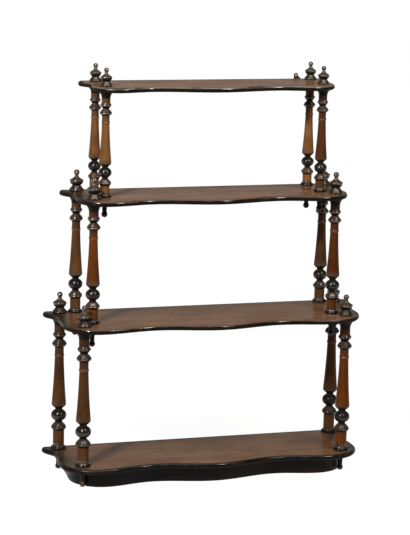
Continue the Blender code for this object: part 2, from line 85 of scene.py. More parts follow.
# Columns, at the full size of tier c
FOOT_R = 0.0162
FOOT_LIP = 0.0045
FOOT_STEP = 0.0016
FOOT_FLARE = 0.0065
BARREL_R = 0.0118
SKIRT_R = 0.0160
SKIRT_UNDER = 0.0043
SKIRT_BAND = 0.0034
SKIRT_RISE = 0.0090
NECK_R = 0.0079
NECK_LENGTH = 0.0036
BALL_R = 0.0162
BALL_RISE = 0.0132
SHAFT_UNDER = 0.0076
SHAFT_BASE_R = 0.0154
SHAFT_TOP_R = 0.0094
BEAD_R = 0.0107
BEAD_LENGTH = 0.005
THROAT_R = 0.0096
THROAT_LENGTH = 0.0158
RING_R = 0.0155
RING_UNDER = 0.0040
RING_BAND = 0.0032
SPOOL_R = 0.0075
SPOOL_DROP = 0.0092
SPOOL_RISE = 0.0072
COLLAR_R = 0.0139
COLLAR_BAND = 0.0032
COLLAR_TOP = 0.0036
CAP_BARREL_R = 0.0108
CAP_FLARE = 0.0126
CAP_LIP = 0.0030
CAP_R = 0.0160

# How far hollows draw in, rounds swell out and grooves are cut
FOOT_HOLLOW = 0.0010
UNDER_SWELL = 0.0005
NECK_HOLLOW = 0.0004
SHAFT_HOLLOW = 0.0008
THROAT_HOLLOW = 0.0003
CAP_HOLLOW = 0.0010
RIM_SWELL = 0.0008
GROOVE_DEPTH = 0.0009
GROOVE_WIDTH = 0.0016

# Finials, at the full size of tiers b and c
FINIAL_BASE_R = 0.0150
FINIAL_LIP = 0.0042
FINIAL_SLOPE = 0.0078
FINIAL_SLOPE_HOLLOW = 0.0004
FINIAL_NECK_R = 0.0083
FINIAL_CUP = 0.0068
FINIAL_CUP_R = 0.0143
FINIAL_CUP_SWELL = 0.0013
FINIAL_BAND = 0.0038
FINIAL_SHOULDER = 0.0066
FINIAL_SHOULDER_HOLLOW = 0.0005
FINIAL_STEM_R = 0.0043
FINIAL_STEM = 0.0043
FINIAL_BALL_R = 0.0060

# Drop knobs
KNOB_TOP_R = 0.0072
KNOB_HOLLOW = 0.0007
KNOB_NECK_R = 0.0046
KNOB_BALL_R = 0.0063
KNOB_GAP = 0.0008

# Apron, hanger plates and screws
APRON_THICK = 0.009
APRON_FRONT_IN = 0.025
APRON_STRAIGHT = 0.045
APRON_SPLAY = 0.003
MITRE_GAP = 0.0003
PLATE_EYE_R = 0.0045
PLATE_EYE_HOLE_R = 0.0015
PLATE_EYE_HEIGHT = 0.0072
PLATE_FOOT = 0.011
PLATE_FOOT_DROP = 0.009
PLATE_SLOPE_ANGLE = math.radians(15)
SCREW_R = 0.0011
SCREW_HEAD_R = 0.0021
SCREW_HEAD = 0.0012
SCREW_TIP_R = 0.0002
SLOT_SEED = 4

# Steps along the curves and roundings
ARRIS_STEPS = 2
BOW_STEPS = 8
BALL_STEPS = 18
ROUND_STEPS = 4
EDGE_STEPS = 7
WAVE_STEPS = 22
SIDE_STEPS = 14
CORNER_STEPS = 20
TIP_STEPS = 8
HOLE_SIDES = 24

# The photograph's frame and the camera that it was taken with
PHOTO_WIDTH = 410
PHOTO_HEIGHT = 535
CAMERA_PLACE = (-1.2079, -3.9435, 1.2845)
CAMERA_TURN = (1.3677, -0.0240, -0.2893)
CAMERA_FOCUS_PX = 2044.998
SENSOR_MM = 36.0


def linear(colour):
    """Linear colour, with alpha, of an sRGB hex value."""
    channels = [int(colour[i:i + 2], 16) / 255 for i in (1, 3, 5)]
    return [c / 12.92 if c <= 0.04045 else ((c + 0.055) / 1.055) ** 2.4 for c in channels] + [1.0]


def colour_property(name, description, colour):
    return FloatVectorProperty(name=name, description=description, default=linear(colour), size=4,
                               subtype="COLOR", min=0.0, max=1.0)


def length_property(name, description, length):
    return FloatProperty(name=name, description=description, default=length, unit="LENGTH")


def power_property(name, description, watts):
    return FloatProperty(name=name, description=description, default=watts, subtype="POWER")


class ShelfShape(bpy.types.PropertyGroup):
    """Sizes of the rounding and wear that the solids leave out."""

    sides: IntProperty(name="Sides", description="Sides of the turned pieces", default=48, min=12)
    arris: length_property("Arris", "Rounding of the turned edges", 0.0006)
    back_ease: FloatProperty(name="Back ease", description="Share of the half-round kept at a board's back",
                             default=0.3, subtype="FACTOR", min=0.0, max=1.0)
    dull_from: FloatProperty(name="Dull from", description="Slope of a board's edge where its polish ends",
                             default=math.radians(78), subtype="ANGLE")
    flat_rim: length_property("Flat rim", "Flat strip inside a board's rounded edge", 0.0015)
    rail_arris: length_property("Rail arris", "Rounding of the apron's edges", 0.0012)
    block_arris: length_property("Block arris", "Rounding of the glue blocks", 0.0008)
    plate_arris: length_property("Plate arris", "Rounding of the hanger plates", 0.0003)
    slot_width: length_property("Screw slot", "Width of the slot in a screw's head", 0.0007)
    slot_depth: length_property("Slot depth", "Depth of the slot in a screw's head", 0.0006)


class ShelfFinish(bpy.types.PropertyGroup):
    """Colours of woods and metals."""

    walnut: colour_property("Walnut", "Main colour of the polished boards", "#785237")
    walnut_light: colour_property("Light walnut", "Paler bands of the boards", "#886244")
    walnut_dark: colour_property("Dark walnut", "Darker bands and pores of the boards", "#523524")
    ebony: colour_property("Ebony stain", "Black stain of edges and mouldings", "#14120e")
    # The rubbed stain of the arris, and the paler one of the top board, are partly wear and partly a
    # painted sheen
    rubbed: colour_property("Rubbed stain", "Black stain that is rubbed grey along the boards", "#4a3c30")
    ebony_worn: colour_property("Worn stain", "Where the black stain has thinned", "#2a1c13")
    pale_rub_and_sheen: colour_property("Pale rub", "Rubbed arris of the top board", "#6d6252")
    greige: colour_property("Thin stain", "Stain as it lies thinly over the mouldings", "#46392c")
    beech: colour_property("Stained beech", "Lighter tan wood of the columns", "#a06b3c")
    beech_dark: colour_property("Dark beech", "Darkest wood and grain of the columns", "#2e1c14")
    beech_red: colour_property("Red beech", "Redder wood of some columns", "#733806")
    apron: colour_property("Apron stain", "Black stain of the apron", "#120f0e")
    pine: colour_property("Raw pine", "Glue blocks", "#b98f5f")
    pine_dark: colour_property("Pine rings", "Late wood of the glue blocks", "#8d6238")
    brass: colour_property("Brass", "Hanger plates", "#8a6f5c")
    brass_dark: colour_property("Tarnish", "Tarnish on the hanger plates", "#4a3a30")
    steel: colour_property("Steel", "Screws", "#8b8883")
    steel_dark: colour_property("Rust", "Rust on the screws", "#4a3a30")


class ShelfStage(bpy.types.PropertyGroup):
    """Lamps, surroundings and floor."""

    left_power: power_property("Left lamp", "Power of the lamp at the left", 57.0)
    right_power: power_property("Right lamp", "Power of the lamp at the right", 11.0)
    top_power: power_property("Top lamp", "Power of the soft lamp above", 18.0)
    lamp_size: length_property("Lamp size", "Side of the square lamps", 0.34)
    top_width: length_property("Top lamp width", "Width of the soft lamp above", 2.6)
    top_depth: length_property("Top lamp depth", "Depth of the soft lamp above", 0.85)
    top_tint: colour_property("Top lamp tint", "Colour of the soft lamp above", "#fffaf3")
    room: colour_property("Room", "Dim room around the shelf", "#4d4b48")
    backdrop: colour_property("Backdrop", "Low surroundings behind, which the boards mirror", "#8d8a85")
    floor: colour_property("Floor", "Pale floor", "#757575")
    floor_glow: FloatProperty(name="Floor white", description="White that the floor shows near the shelf",
                              default=0.95, min=0.0)
    floor_radius: length_property("Floor radius", "Reach of the floor", 60.0)


# Nodes and finishes

Stain = namedtuple("Stain", "black polish")


def put(tree, kind, inputs=None, **settings):
    """Adds a node with its settings. An input takes a value, or links from a node or an output."""
    node = tree.nodes.new(kind)
    for name, value in settings.items():
        setattr(node, name, value)
    for key, value in (inputs or {}).items():
        named = [socket for socket in node.inputs if socket.enabled and socket.name == key]
        socket = named[0] if named else node.inputs[key]
        if isinstance(value, bpy.types.Node):
            value = next(output for output in value.outputs if output.enabled)
        if isinstance(value, bpy.types.NodeSocket):
            tree.links.new(value, socket)
        else:
            socket.default_value = value
    return node


def per_mm(*sizes):
    """Scale of a pattern whose features have these sizes along the axes, in millimetres."""
    return tuple(1000.0 / size for size in sizes)


def start_finish(name):
    """An empty material, its tree and the place on the piece that its patterns follow."""
    material = bpy.data.materials.new(name)
    material.use_nodes = True
    tree = material.node_tree
    tree.nodes.clear()
    return material, tree, put(tree, "ShaderNodeTexCoord").outputs["Object"]


def polished_walnut(finish, board, ear_x, ear_black):
    """French-polished walnut: brown bands along the board, short dark pores, a soft even gloss.

    Black stain, as dark as ear_black, comes in from the ears, whose tips are ear_x from the middle.
    """
    material, tree, place = start_finish("polished_walnut_" + board)
    lengthways = put(tree, "ShaderNodeMapping", {"Vector": place, "Scale": per_mm(320, 22, 22)})
    bands = put(tree, "ShaderNodeTexNoise", {"Vector": lengthways, "Scale": 1.0, "Detail": 3.0,
                                             "Distortion": 0.4})
    bands = put(tree, "ShaderNodeMapRange", {"Value": bands, "From Min": 0.35, "From Max": 0.68})
    cloudy = put(tree, "ShaderNodeMapping", {"Vector": place, "Scale": per_mm(110, 60, 60)})
    clouds = put(tree, "ShaderNodeTexNoise", {"Vector": cloudy, "Scale": 1.0})
    shade = put(tree, "ShaderNodeMapRange", {"Value": clouds, "From Min": 0.40, "From Max": 0.66,
                                             "To Max": 0.4})
    # Pores are drawn about five times as wide as life, or they wouldn't show from the front
    along = put(tree, "ShaderNodeMapping", {"Vector": place, "Scale": per_mm(22, 8, 8)})
    pores = put(tree, "ShaderNodeTexNoise", {"Vector": along, "Scale": 1.0, "Detail": 2.0})
    pores = put(tree, "ShaderNodeMapRange", {"Value": pores, "From Min": 0.55, "From Max": 0.72,
                                             "To Max": 0.6})
    # Grime has settled along the back edge, and the stain of the ears fades unevenly
    spot = put(tree, "ShaderNodeSeparateXYZ", {"Vector": place}).outputs
    grime = put(tree, "ShaderNodeMapRange", {"Value": spot["Y"], "From Min": BACK_Y - GRIME_FROM,
                                             "From Max": BACK_Y - GRIME_BY, "To Max": 0.9})
    out = put(tree, "ShaderNodeMath", {0: spot["X"]}, operation="ABSOLUTE")
    out = put(tree, "ShaderNodeMath", {0: clouds, 1: EAR_UNEVEN, 2: out}, operation="MULTIPLY_ADD")
    ears = put(tree, "ShaderNodeMapRange", {"Value": out, "From Min": ear_x - EAR_STAIN_FROM,
                                            "From Max": ear_x - EAR_STAIN_BY, "To Max": ear_black})
    dark = put(tree, "ShaderNodeMath", {0: grime, 1: ears}, operation="MAXIMUM")
    colour = finish.walnut
    for factor, paint in ((bands, finish.walnut_light), (shade, finish.walnut_dark),
                          (pores, finish.walnut_dark), (dark, finish.ebony)):
        colour = put(tree, "ShaderNodeMix", {"Factor": factor, "A": colour, "B": paint}, data_type="RGBA")
    rough = put(tree, "ShaderNodeMapRange", {"Value": clouds, "From Min": 0.4, "From Max": 0.66,
                                             "To Min": 0.24, "To Max": 0.32})
    relief = put(tree, "ShaderNodeBump", {"Height": pores, "Distance": 0.00003}, invert=True)
    shader = put(tree, "ShaderNodeBsdfPrincipled", {"Base Color": colour, "Roughness": rough,
                                                    "Normal": relief, "IOR": 1.5})
    put(tree, "ShaderNodeOutputMaterial", {"Surface": shader})
    return material


def ebonised_edge(name, stain, patches, roughness, specular):
    """Ebonised wood: black stain under polish, with patches where it has thinned or lasted."""
    material, tree, place = start_finish(name)
    patchy = put(tree, "ShaderNodeMapping", {"Vector": place, "Scale": per_mm(40, 25, 9)})
    rubbed = put(tree, "ShaderNodeTexNoise", {"Vector": patchy, "Scale": 1.0, "Detail": 3.0,
                                              "Distortion": 0.5})
    rubbed = put(tree, "ShaderNodeMapRange", {"Value": rubbed, "From Min": 0.5, "From Max": 0.65})
    drawn = put(tree, "ShaderNodeMapping", {"Vector": place, "Scale": per_mm(60, 2.5, 2.5)})
    streaks = put(tree, "ShaderNodeTexNoise", {"Vector": drawn, "Scale": 1.0})
    colour = put(tree, "ShaderNodeMix", {"Factor": rubbed, "A": stain, "B": patches}, data_type="RGBA")
    rough = put(tree, "ShaderNodeMapRange", {"Value": rubbed, "To Min": roughness[0],
                                             "To Max": roughness[1]})
    relief = put(tree, "ShaderNodeBump", {"Height": streaks, "Distance": 0.00002})
    shader = put(tree, "ShaderNodeBsdfPrincipled", {
        "Base Color": colour, "Roughness": rough, "Normal": relief, "IOR": 1.5,
        "Specular IOR Level": specular})
    put(tree, "ShaderNodeOutputMaterial", {"Surface": shader})
    return material


def stained_beech(finish, name, roughness):
    """Turned beech, waxed where it is clear, and under a glossy coat of polish where it is black.

    The attributes tone and red give a piece its wood: fine upright grain and flecks. The attributes
    black and polish give each moulding its stain and its coat, where stains darker than the wood paint
    the shade in recesses and under mouldings; below 0 the wood is rubbed to tan, which on the bead
    paints the light that it catches.
    """
    material, tree, place = start_finish(name)
    tone, red, black, polish = [put(tree, "ShaderNodeAttribute", attribute_name=name).outputs["Fac"]
                                for name in ("tone", "red", *Stain._fields)]
    upright = put(tree, "ShaderNodeMapping", {"Vector": place, "Scale": per_mm(2.2, 2.2, 60)})
    grain = put(tree, "ShaderNodeTexNoise", {"Vector": upright, "Scale": 1.0, "Detail": 3.0,
                                             "Distortion": 0.3})
    lines = put(tree, "ShaderNodeMapRange", {"Value": grain, "From Min": 0.40, "From Max": 0.75,
                                             "To Max": 0.45})
    short = put(tree, "ShaderNodeMapping", {"Vector": place, "Scale": per_mm(1.2, 1.2, 5)})
    flecks = put(tree, "ShaderNodeTexNoise", {"Vector": short, "Scale": 1.0, "Detail": 1.0})
    flecks = put(tree, "ShaderNodeMapRange", {"Value": flecks, "From Min": 0.62, "From Max": 0.72,
                                              "To Max": 0.3})
    cloudy = put(tree, "ShaderNodeMapping", {"Vector": place, "Scale": per_mm(30, 30, 45)})
    clouds = put(tree, "ShaderNodeTexNoise", {"Vector": cloudy, "Scale": 1.0})
    patches = put(tree, "ShaderNodeMapRange", {"Value": clouds, "From Min": 0.42, "From Max": 0.68,
                                               "To Max": 0.4})
    thin = put(tree, "ShaderNodeMapRange", {"Value": clouds, "From Min": 0.55, "From Max": 0.75,
                                            "To Max": 0.6})
    stain = put(tree, "ShaderNodeMix", {"Factor": thin, "A": finish.ebony, "B": finish.ebony_worn},
                data_type="RGBA")
    # Below 0 the wood is rubbed to tan: paler on the barrel, and a painted highlight on the bead
    # The stain hides the wood when it is half black
    rubbed = put(tree, "ShaderNodeMapRange", {"Value": black, "From Max": -1.0})
    thinly = put(tree, "ShaderNodeMapRange", {"Value": black, "From Max": 0.5})
    thickly = put(tree, "ShaderNodeMapRange", {"Value": black, "From Min": 0.5})
    colour = finish.beech_dark
    for factor, paint in ((tone, finish.beech), (red, finish.beech_red), (rubbed, finish.beech),
                          (lines, finish.beech_dark), (patches, finish.beech_dark),
                          (flecks, finish.beech_dark), (thinly, finish.greige), (thickly, stain)):
        colour = put(tree, "ShaderNodeMix", {"Factor": factor, "A": colour, "B": paint}, data_type="RGBA")
    rough = put(tree, "ShaderNodeMapRange", {"Value": clouds, "From Min": 0.3, "From Max": 0.7,
                                             "To Min": roughness[0], "To Max": roughness[1]})
    relief = put(tree, "ShaderNodeBump", {"Height": grain, "Distance": 0.00003})
    shader = put(tree, "ShaderNodeBsdfPrincipled", {
        "Base Color": colour, "Roughness": rough, "Normal": relief, "IOR": 1.5,
        "Specular IOR Level": 0.08, "Coat Weight": polish, "Coat Roughness": 0.12, "Coat IOR": 2.0})
    put(tree, "ShaderNodeOutputMaterial", {"Surface": shader})
    return material


def raw_pine(finish):
    """Sawn pine: pale with brown rings a few millimetres apart, matt and slightly furry."""
    material, tree, place = start_finish("raw_pine")
    ringed = put(tree, "ShaderNodeMapping", {"Vector": place, "Scale": per_mm(70, 3, 3)})
    rings = put(tree, "ShaderNodeTexNoise", {"Vector": ringed, "Scale": 1.0, "Distortion": 0.6})
    rings = put(tree, "ShaderNodeMapRange", {"Value": rings, "From Min": 0.4, "From Max": 0.65})
    across = put(tree, "ShaderNodeMapping", {"Vector": place, "Scale": per_mm(1.5, 20, 20)})
    saw = put(tree, "ShaderNodeTexNoise", {"Vector": across, "Scale": 1.0, "Detail": 1.0})
    colour = put(tree, "ShaderNodeMix", {"Factor": rings, "A": finish.pine, "B": finish.pine_dark},
                 data_type="RGBA")
    rough = put(tree, "ShaderNodeMapRange", {"Value": saw, "From Min": 0.3, "From Max": 0.7,
                                             "To Min": 0.6, "To Max": 0.8})
    relief = put(tree, "ShaderNodeBump", {"Height": saw, "Distance": 0.0001})
    shader = put(tree, "ShaderNodeBsdfPrincipled", {"Base Color": colour, "Roughness": rough,
                                                    "Normal": relief, "IOR": 1.5})
    put(tree, "ShaderNodeOutputMaterial", {"Surface": shader})
    return material


def dulled_metal(name, bright, dull, spot_mm, roughness):
    """Brass or steel that has dulled: tarnish in spots, brighter where it is rubbed."""
    material, tree, place = start_finish(name)
    spotted = put(tree, "ShaderNodeMapping", {"Vector": place, "Scale": per_mm(spot_mm, spot_mm, spot_mm)})
    tarnish = put(tree, "ShaderNodeTexNoise", {"Vector": spotted, "Scale": 1.0, "Detail": 3.0})
    tarnish = put(tree, "ShaderNodeMapRange", {"Value": tarnish, "From Min": 0.4, "From Max": 0.62})
    colour = put(tree, "ShaderNodeMix", {"Factor": tarnish, "A": bright, "B": dull}, data_type="RGBA")
    rough = put(tree, "ShaderNodeMapRange", {"Value": tarnish, "To Min": roughness[0],
                                             "To Max": roughness[1]})
    relief = put(tree, "ShaderNodeBump", {"Height": tarnish, "Distance": 0.00004})
    shader = put(tree, "ShaderNodeBsdfPrincipled", {"Base Color": colour, "Roughness": rough,
                                                    "Normal": relief, "Metallic": 1.0})
    put(tree, "ShaderNodeOutputMaterial", {"Surface": shader})
    return material


# Meshes and pieces

def close_mesh(mesh):
    """Merges what meets in a mesh, turns its faces outwards and shades it smooth."""
    bm = bmesh.new()
    bm.from_mesh(mesh)
    bmesh.ops.remove_doubles(bm, verts=bm.verts, dist=MERGE)
    bmesh.ops.recalc_face_normals(bm, faces=bm.faces)
    bm.to_mesh(mesh)
    bm.free()
    mesh.shade_smooth()
    mesh.set_sharp_from_angle(angle=SMOOTH_ANGLE)


def plain_mesh(bm, name):
    """The closed and smoothed mesh of faces that are ready."""
    mesh = bpy.data.meshes.new(name)
    bm.to_mesh(mesh)
    bm.free()
    close_mesh(mesh)
    return mesh


def add_object(name, data):
    item = bpy.data.objects.new(name, data)
    bpy.context.scene.collection.objects.link(item)
    return item


def settle(piece, slot, *nodes):
    """Puts a finished piece on the shelf in place of its solids."""
    if not piece.data.polygons:
        raise RuntimeError(f"{piece.name} has no faces")
    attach(piece, BODY)
    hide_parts(*nodes)


def evaluated_mesh(item):
    """Plain mesh of an object with its modifiers applied."""
    ready = item.evaluated_get(bpy.context.evaluated_depsgraph_get())
    return bpy.data.meshes.new_from_object(ready, preserve_all_data_layers=True,
                                           depsgraph=bpy.context.evaluated_depsgraph_get())


def start_tree(name, sockets):
    """A Geometry Nodes tree with named inputs, and the node that gives them."""
    tree = bpy.data.node_groups.new(name, "GeometryNodeTree")
    tree.interface.new_socket("Geometry", in_out="INPUT", socket_type="NodeSocketGeometry")
    for socket, kind in sockets.items():
        tree.interface.new_socket(socket, in_out="INPUT", socket_type="NodeSocket" + kind)
    tree.interface.new_socket("Geometry", in_out="OUTPUT", socket_type="NodeSocketGeometry")
    return tree, put(tree, "NodeGroupInput").outputs


def end_tree(tree, geometry, material):
    real = put(tree, "GeometryNodeRealizeInstances", {"Geometry": geometry})
    painted = put(tree, "GeometryNodeSetMaterial", {"Geometry": real, "Material": material})
    put(tree, "NodeGroupOutput", {"Geometry": painted})


def run_tree(item, tree, values):
    """Gives an object the mesh that a tree makes of it."""
    modifier = item.modifiers.new(tree.name, "NODES")
    modifier.node_group = tree
    sockets = {s.name: s.identifier for s in tree.interface.items_tree if s.in_out == "INPUT"}
    for name, value in values.items():
        modifier[sockets[name]] = value
    mesh = evaluated_mesh(item)
    item.modifiers.clear()
    item.data = mesh
    close_mesh(mesh)


# Turned pieces: outlines are lists of (radius, height, black, polish), from the lower end up

Tier = namedtuple("Tier", "back_half front_half front_y side_past lobe_r barrel cap_barrel stain")
PLACES = ("left_back", "left_front", "right_back", "right_front")

# Boards: the tier that gives their outline, how far their lobes stand out beyond it, how black their
# ears are, the slopes of the edge between which it is rubbed and lightened as a painted sheen, and the
# gloss of its stain
Board = namedtuple("Board", "node tier spread ear_black rub gloss")
BOARDS = (
    Board("top_board", "a", 0.0, 0.1, (math.radians(20), math.radians(62)), 0.8),
    Board("upper_board", "b", 0.0, 0.85, (math.radians(35), math.radians(52)), 0.6),
    Board("lower_board", "c", 0.0, 0.9, (math.radians(35), math.radians(52)), 0.6),
    Board("bottom_board", "c", BOTTOM_SPREAD, 0.8, (math.radians(3), math.radians(20)), 0.35),
)


def axis(node):
    low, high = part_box(node)
    return (low + high) / 2


def read_tier(name, side_past, lobe_r, barrel, cap_barrel, stain):
    """A tier whose columns stand where the solids have them, with the stain of its mouldings."""
    back, front = axis(f"column_{name}_right_back"), axis(f"column_{name}_right_front")
    return Tier(back.x, front.x, front.y, side_past, lobe_r, barrel, cap_barrel, stain)


TIERS = {
    "a": read_tier("a", 0.027, 0.0495, 0.0146, 0.0093, Stain(0.4, 1.0)),
    "b": read_tier("b", 0.030, 0.0575, 0.0197, 0.0090, Stain(0.42, 0.95)),
    "c": read_tier("c", 0.038, 0.069, 0.0295, 0.0143, Stain(0.55, 0.45)),
}

# Woods of the turned pieces: their tone from 0, dark, to 1, tan, and how red they are
COLUMN_WOODS = {
    "a_left_back": (0.72, 0.0), "a_left_front": (0.7, 0.0),
    "a_right_back": (1.0, 0.0), "a_right_front": (0.17, 0.3),
    "b_left_back": (0.5, 0.0), "b_left_front": (1.0, 0.9),
    "b_right_back": (0.3, 0.0), "b_right_front": (0.01, 0.65),
    "c_left_back": (0.34, 0.05), "c_left_front": (0.27, 0.05),
    "c_right_back": (0.24, 0.12), "c_right_front": (1.0, 0.95),
}
FINIAL_WOOD = (0.4, 0.0)
KNOB_WOOD = (0.4, 0.4)

# Columns whose polish is duller than that of the rest, as a share of it
COLUMN_GLOSS = {"c_right_back": 0.2, "c_right_front": 0.55}

# How black each moulding is and how much polish it has, both up to 1. Undersides, grooves, necks,
# the spool and the capital are stained darker than their wood to paint the shade in these recesses
# and under the mouldings and the board.
COLUMN_STAIN = {
    "foot": Stain(0.97, 0.3), "flare": Stain(0.6, 0.6), "barrel": Stain(-0.15, 0.0),
    "underside_stain_and_shade": Stain(0.65, 0.0), "groove": Stain(1.0, 0.0), "neck": Stain(0.9, 0.0),
    "ball": Stain(0.93, 0.35), "shaft base": Stain(0.0, 0.4),
    # The bead's black below 0 rubs it to a paler tan, a painted highlight where it catches the light
    "shaft": Stain(0.0, 0.0), "bead": Stain(-0.3, 0.2), "throat": Stain(0.15, 0.0),
    "spool": Stain(0.95, 0.0), "capital barrel": Stain(0.2, 0.0), "capital": Stain(0.95, 0.0),
}
# The finial's neck and the lower side of its cup are stained darker to paint the shade under the cup
FINIAL_STAIN = {
    "neck": Stain(0.95, 0.0), "underside_stain_and_shade": Stain(0.9, 0.0), "cup": Stain(0.6, 0.9),
    "shoulder": Stain(0.5, 0.9), "ball": Stain(0.4, 0.9),
}
FINIAL_BASE = Stain(0.78, 0.65)  # its polish is a share of that of its tier's mouldings

# Neck and ball of the knobs, and of those that differ from the rest
PLAIN_KNOB = (Stain(0.75, 0.0), Stain(0.9, 0.15))
KNOBS = {
    "a_left_front": (Stain(1.0, 0.0), Stain(1.0, 0.15)),
    "b_left_front": (Stain(0.4, 0.0), Stain(1.0, 0.15)),
    "c_left_front": (Stain(0.2, 0.0), Stain(0.5, 0.3)),
}


def bow(start, end, depth):
    """Points from start to end, drawn in by depth halfway, or out where it is negative."""
    dr, dz = end[0] - start[0], end[1] - start[1]
    length = math.hypot(dr, dz)
    points = []
    for step in range(1, BOW_STEPS + 1):
        t = step / BOW_STEPS
        shift = 4.0 * depth * t * (1.0 - t) / length
        points.append((start[0] + dr * t - dz * shift, start[1] + dz * t + dr * shift))
    return points


def ball(middle, radius, rise, low, high):
    """Points up a ball's outer side between two angles; a rise below its radius flattens it."""
    angles = [low + (high - low) * step / BALL_STEPS for step in range(BALL_STEPS + 1)]
    return [(radius * math.cos(angle), middle + rise * math.sin(angle)) for angle in angles]


def rim(radius, low, high):
    """A rounded rim between two heights."""
    start, end = (radius - RIM_SWELL, low), (radius - RIM_SWELL, high)
    return [start] + bow(start, end, -RIM_SWELL)


def groove(radius, height):
    """A fine groove that the turner cut above a rim."""
    inner = radius - RIM_SWELL
    bottom = (inner - GROOVE_DEPTH, height + GROOVE_WIDTH / 2)
    return [bottom, (inner - GROOVE_DEPTH / 3, height + GROOVE_WIDTH)]


def stained(outline, stain, *points):
    """Adds points to an outline, with their stain."""
    outline += [(*point, *stain) for point in points]


def scaled(outline, scale):
    return [(scale * radius, scale * height, *stain) for radius, height, *stain in outline]


def soften(outline, radius, least=math.radians(18)):
    """Rounds the corners of an outline, so that they catch the light."""
    soft = [outline[0]]
    for before, corner, after in zip(outline, outline[1:], outline[2:]):
        here = Vector(corner[:2])
        back, on = Vector(before[:2]) - here, Vector(after[:2]) - here
        if back.length < MERGE or on.length < MERGE or math.pi - back.angle(on) < least:
            soft.append(corner)
            continue
        start = here + back.normalized() * min(radius, back.length / 2)
        end = here + on.normalized() * min(radius, on.length / 2)
        for step in range(ROUND_STEPS + 1):
            t = step / ROUND_STEPS
            point = start * (1 - t) ** 2 + here * 2 * t * (1 - t) + end * t ** 2
            soft.append((*point, *(corner if t < 0.5 else after)[2:]))
    soft.append(outline[-1])
    return soft


def lower_rim(line, stain, start, radius, low, high):
    """Adds a lower side stained dark to paint the shade under the rim, a polished rim, and the groove above
    it, stained black to paint the shade in it.
    """
    stained(line, stain["underside_stain_and_shade"], *bow(start, (radius - RIM_SWELL, low), -UNDER_SWELL))
    stained(line, stain["moulding"], *rim(radius, low, high)[1:])
    stained(line, stain["groove"], *groove(radius, high))


def column_outline(tier, length, scale, gloss):
    """Foot, barrel, skirt, ball, shaft, bead, throat, ring, spool, collar and capital.

    It is drawn at the full size of tier c and then scaled.
    """
    ball_angle = math.acos(NECK_R / BALL_R)
    half_ball = BALL_RISE * math.sin(ball_angle)
    top = length / scale
    foot_top = FOOT_LIP + FOOT_FLARE
    barrel_top = foot_top + tier.barrel / scale
    skirt_low = barrel_top + SKIRT_UNDER
    skirt_high = skirt_low + SKIRT_BAND
    skirt_top = skirt_high + SKIRT_RISE
    ball_low = skirt_top + NECK_LENGTH
    ball_high = ball_low + 2 * half_ball
    neck_top = ball_high + NECK_LENGTH
    shaft_base = neck_top + SHAFT_UNDER
    cap_low = top - CAP_LIP - CAP_FLARE
    collar_top = cap_low - tier.cap_barrel / scale
    collar_high = collar_top - COLLAR_TOP
    collar_low = collar_high - COLLAR_BAND
    spool = collar_low - SPOOL_RISE
    ring_high = spool - SPOOL_DROP
    ring_low = ring_high - RING_BAND
    throat_top = ring_low - RING_UNDER
    bead_top = throat_top - THROAT_LENGTH
    shaft_top = bead_top - BEAD_LENGTH

    stain = COLUMN_STAIN | {"moulding": tier.stain}
    stain = {part: Stain(black, polish * gloss) for part, (black, polish) in stain.items()}
    line = [(0.0, 0.0, *stain["foot"])]
    stained(line, stain["foot"], *rim(FOOT_R, 0.0, FOOT_LIP))
    flare = (FOOT_R - FOOT_STEP, FOOT_LIP + GROOVE_WIDTH / 2)
    stained(line, stain["groove"], flare)
    stained(line, stain["flare"], *bow(flare, (BARREL_R, foot_top), FOOT_HOLLOW))
    stained(line, stain["barrel"], *bow((BARREL_R, foot_top), (BARREL_R, barrel_top), 0.0))
    lower_rim(line, stain, (BARREL_R, barrel_top), SKIRT_R, skirt_low, skirt_high)
    stained(line, stain["moulding"], *bow(line[-1][:2], (NECK_R, skirt_top), 0.0))
    stained(line, stain["neck"], *bow((NECK_R, skirt_top), (NECK_R, ball_low), NECK_HOLLOW))
    sphere = ball(ball_low + half_ball, BALL_R, BALL_RISE, -ball_angle, ball_angle)
    stained(line, stain["ball"], *sphere[1:])
    stained(line, stain["neck"], *bow((NECK_R, ball_high), (NECK_R, neck_top), NECK_HOLLOW))
    base = (SHAFT_BASE_R, shaft_base)
    stained(line, stain["underside_stain_and_shade"], *bow((NECK_R, neck_top), base, -UNDER_SWELL))
    stained(line, stain["shaft base"], base)
    stained(line, stain["shaft"], *bow(base, (SHAFT_TOP_R, shaft_top), SHAFT_HOLLOW))
    bead = ((SHAFT_TOP_R, shaft_top), (THROAT_R, bead_top))
    stained(line, stain["bead"], *bow(*bead, THROAT_R - BEAD_R))
    stained(line, stain["throat"], *bow(bead[1], (THROAT_R, throat_top), THROAT_HOLLOW))
    lower_rim(line, stain, (THROAT_R, throat_top), RING_R, ring_low, ring_high)
    stained(line, stain["moulding"], *bow(line[-1][:2], (SPOOL_R, spool), 0.0))
    collar = (COLLAR_R - RIM_SWELL, collar_low)
    stained(line, stain["spool"], *bow((SPOOL_R, spool), collar, 0.0))
    stained(line, stain["moulding"], *rim(COLLAR_R, collar_low, collar_high)[1:])
    stained(line, stain["moulding"], *bow(line[-1][:2], (CAP_BARREL_R, collar_top), 0.0))
    stained(line, stain["capital barrel"], *bow((CAP_BARREL_R, collar_top), (CAP_BARREL_R, cap_low), 0.0))
    cap = (CAP_R - RIM_SWELL, top - CAP_LIP)
    # The capital is stained near black to paint the shade under the board
    stained(line, stain["capital"], *bow((CAP_BARREL_R, cap_low), cap, CAP_HOLLOW))
    stained(line, stain["capital"], *rim(CAP_R, top - CAP_LIP, top)[1:], (0.0, top))
    return scaled(line, scale)


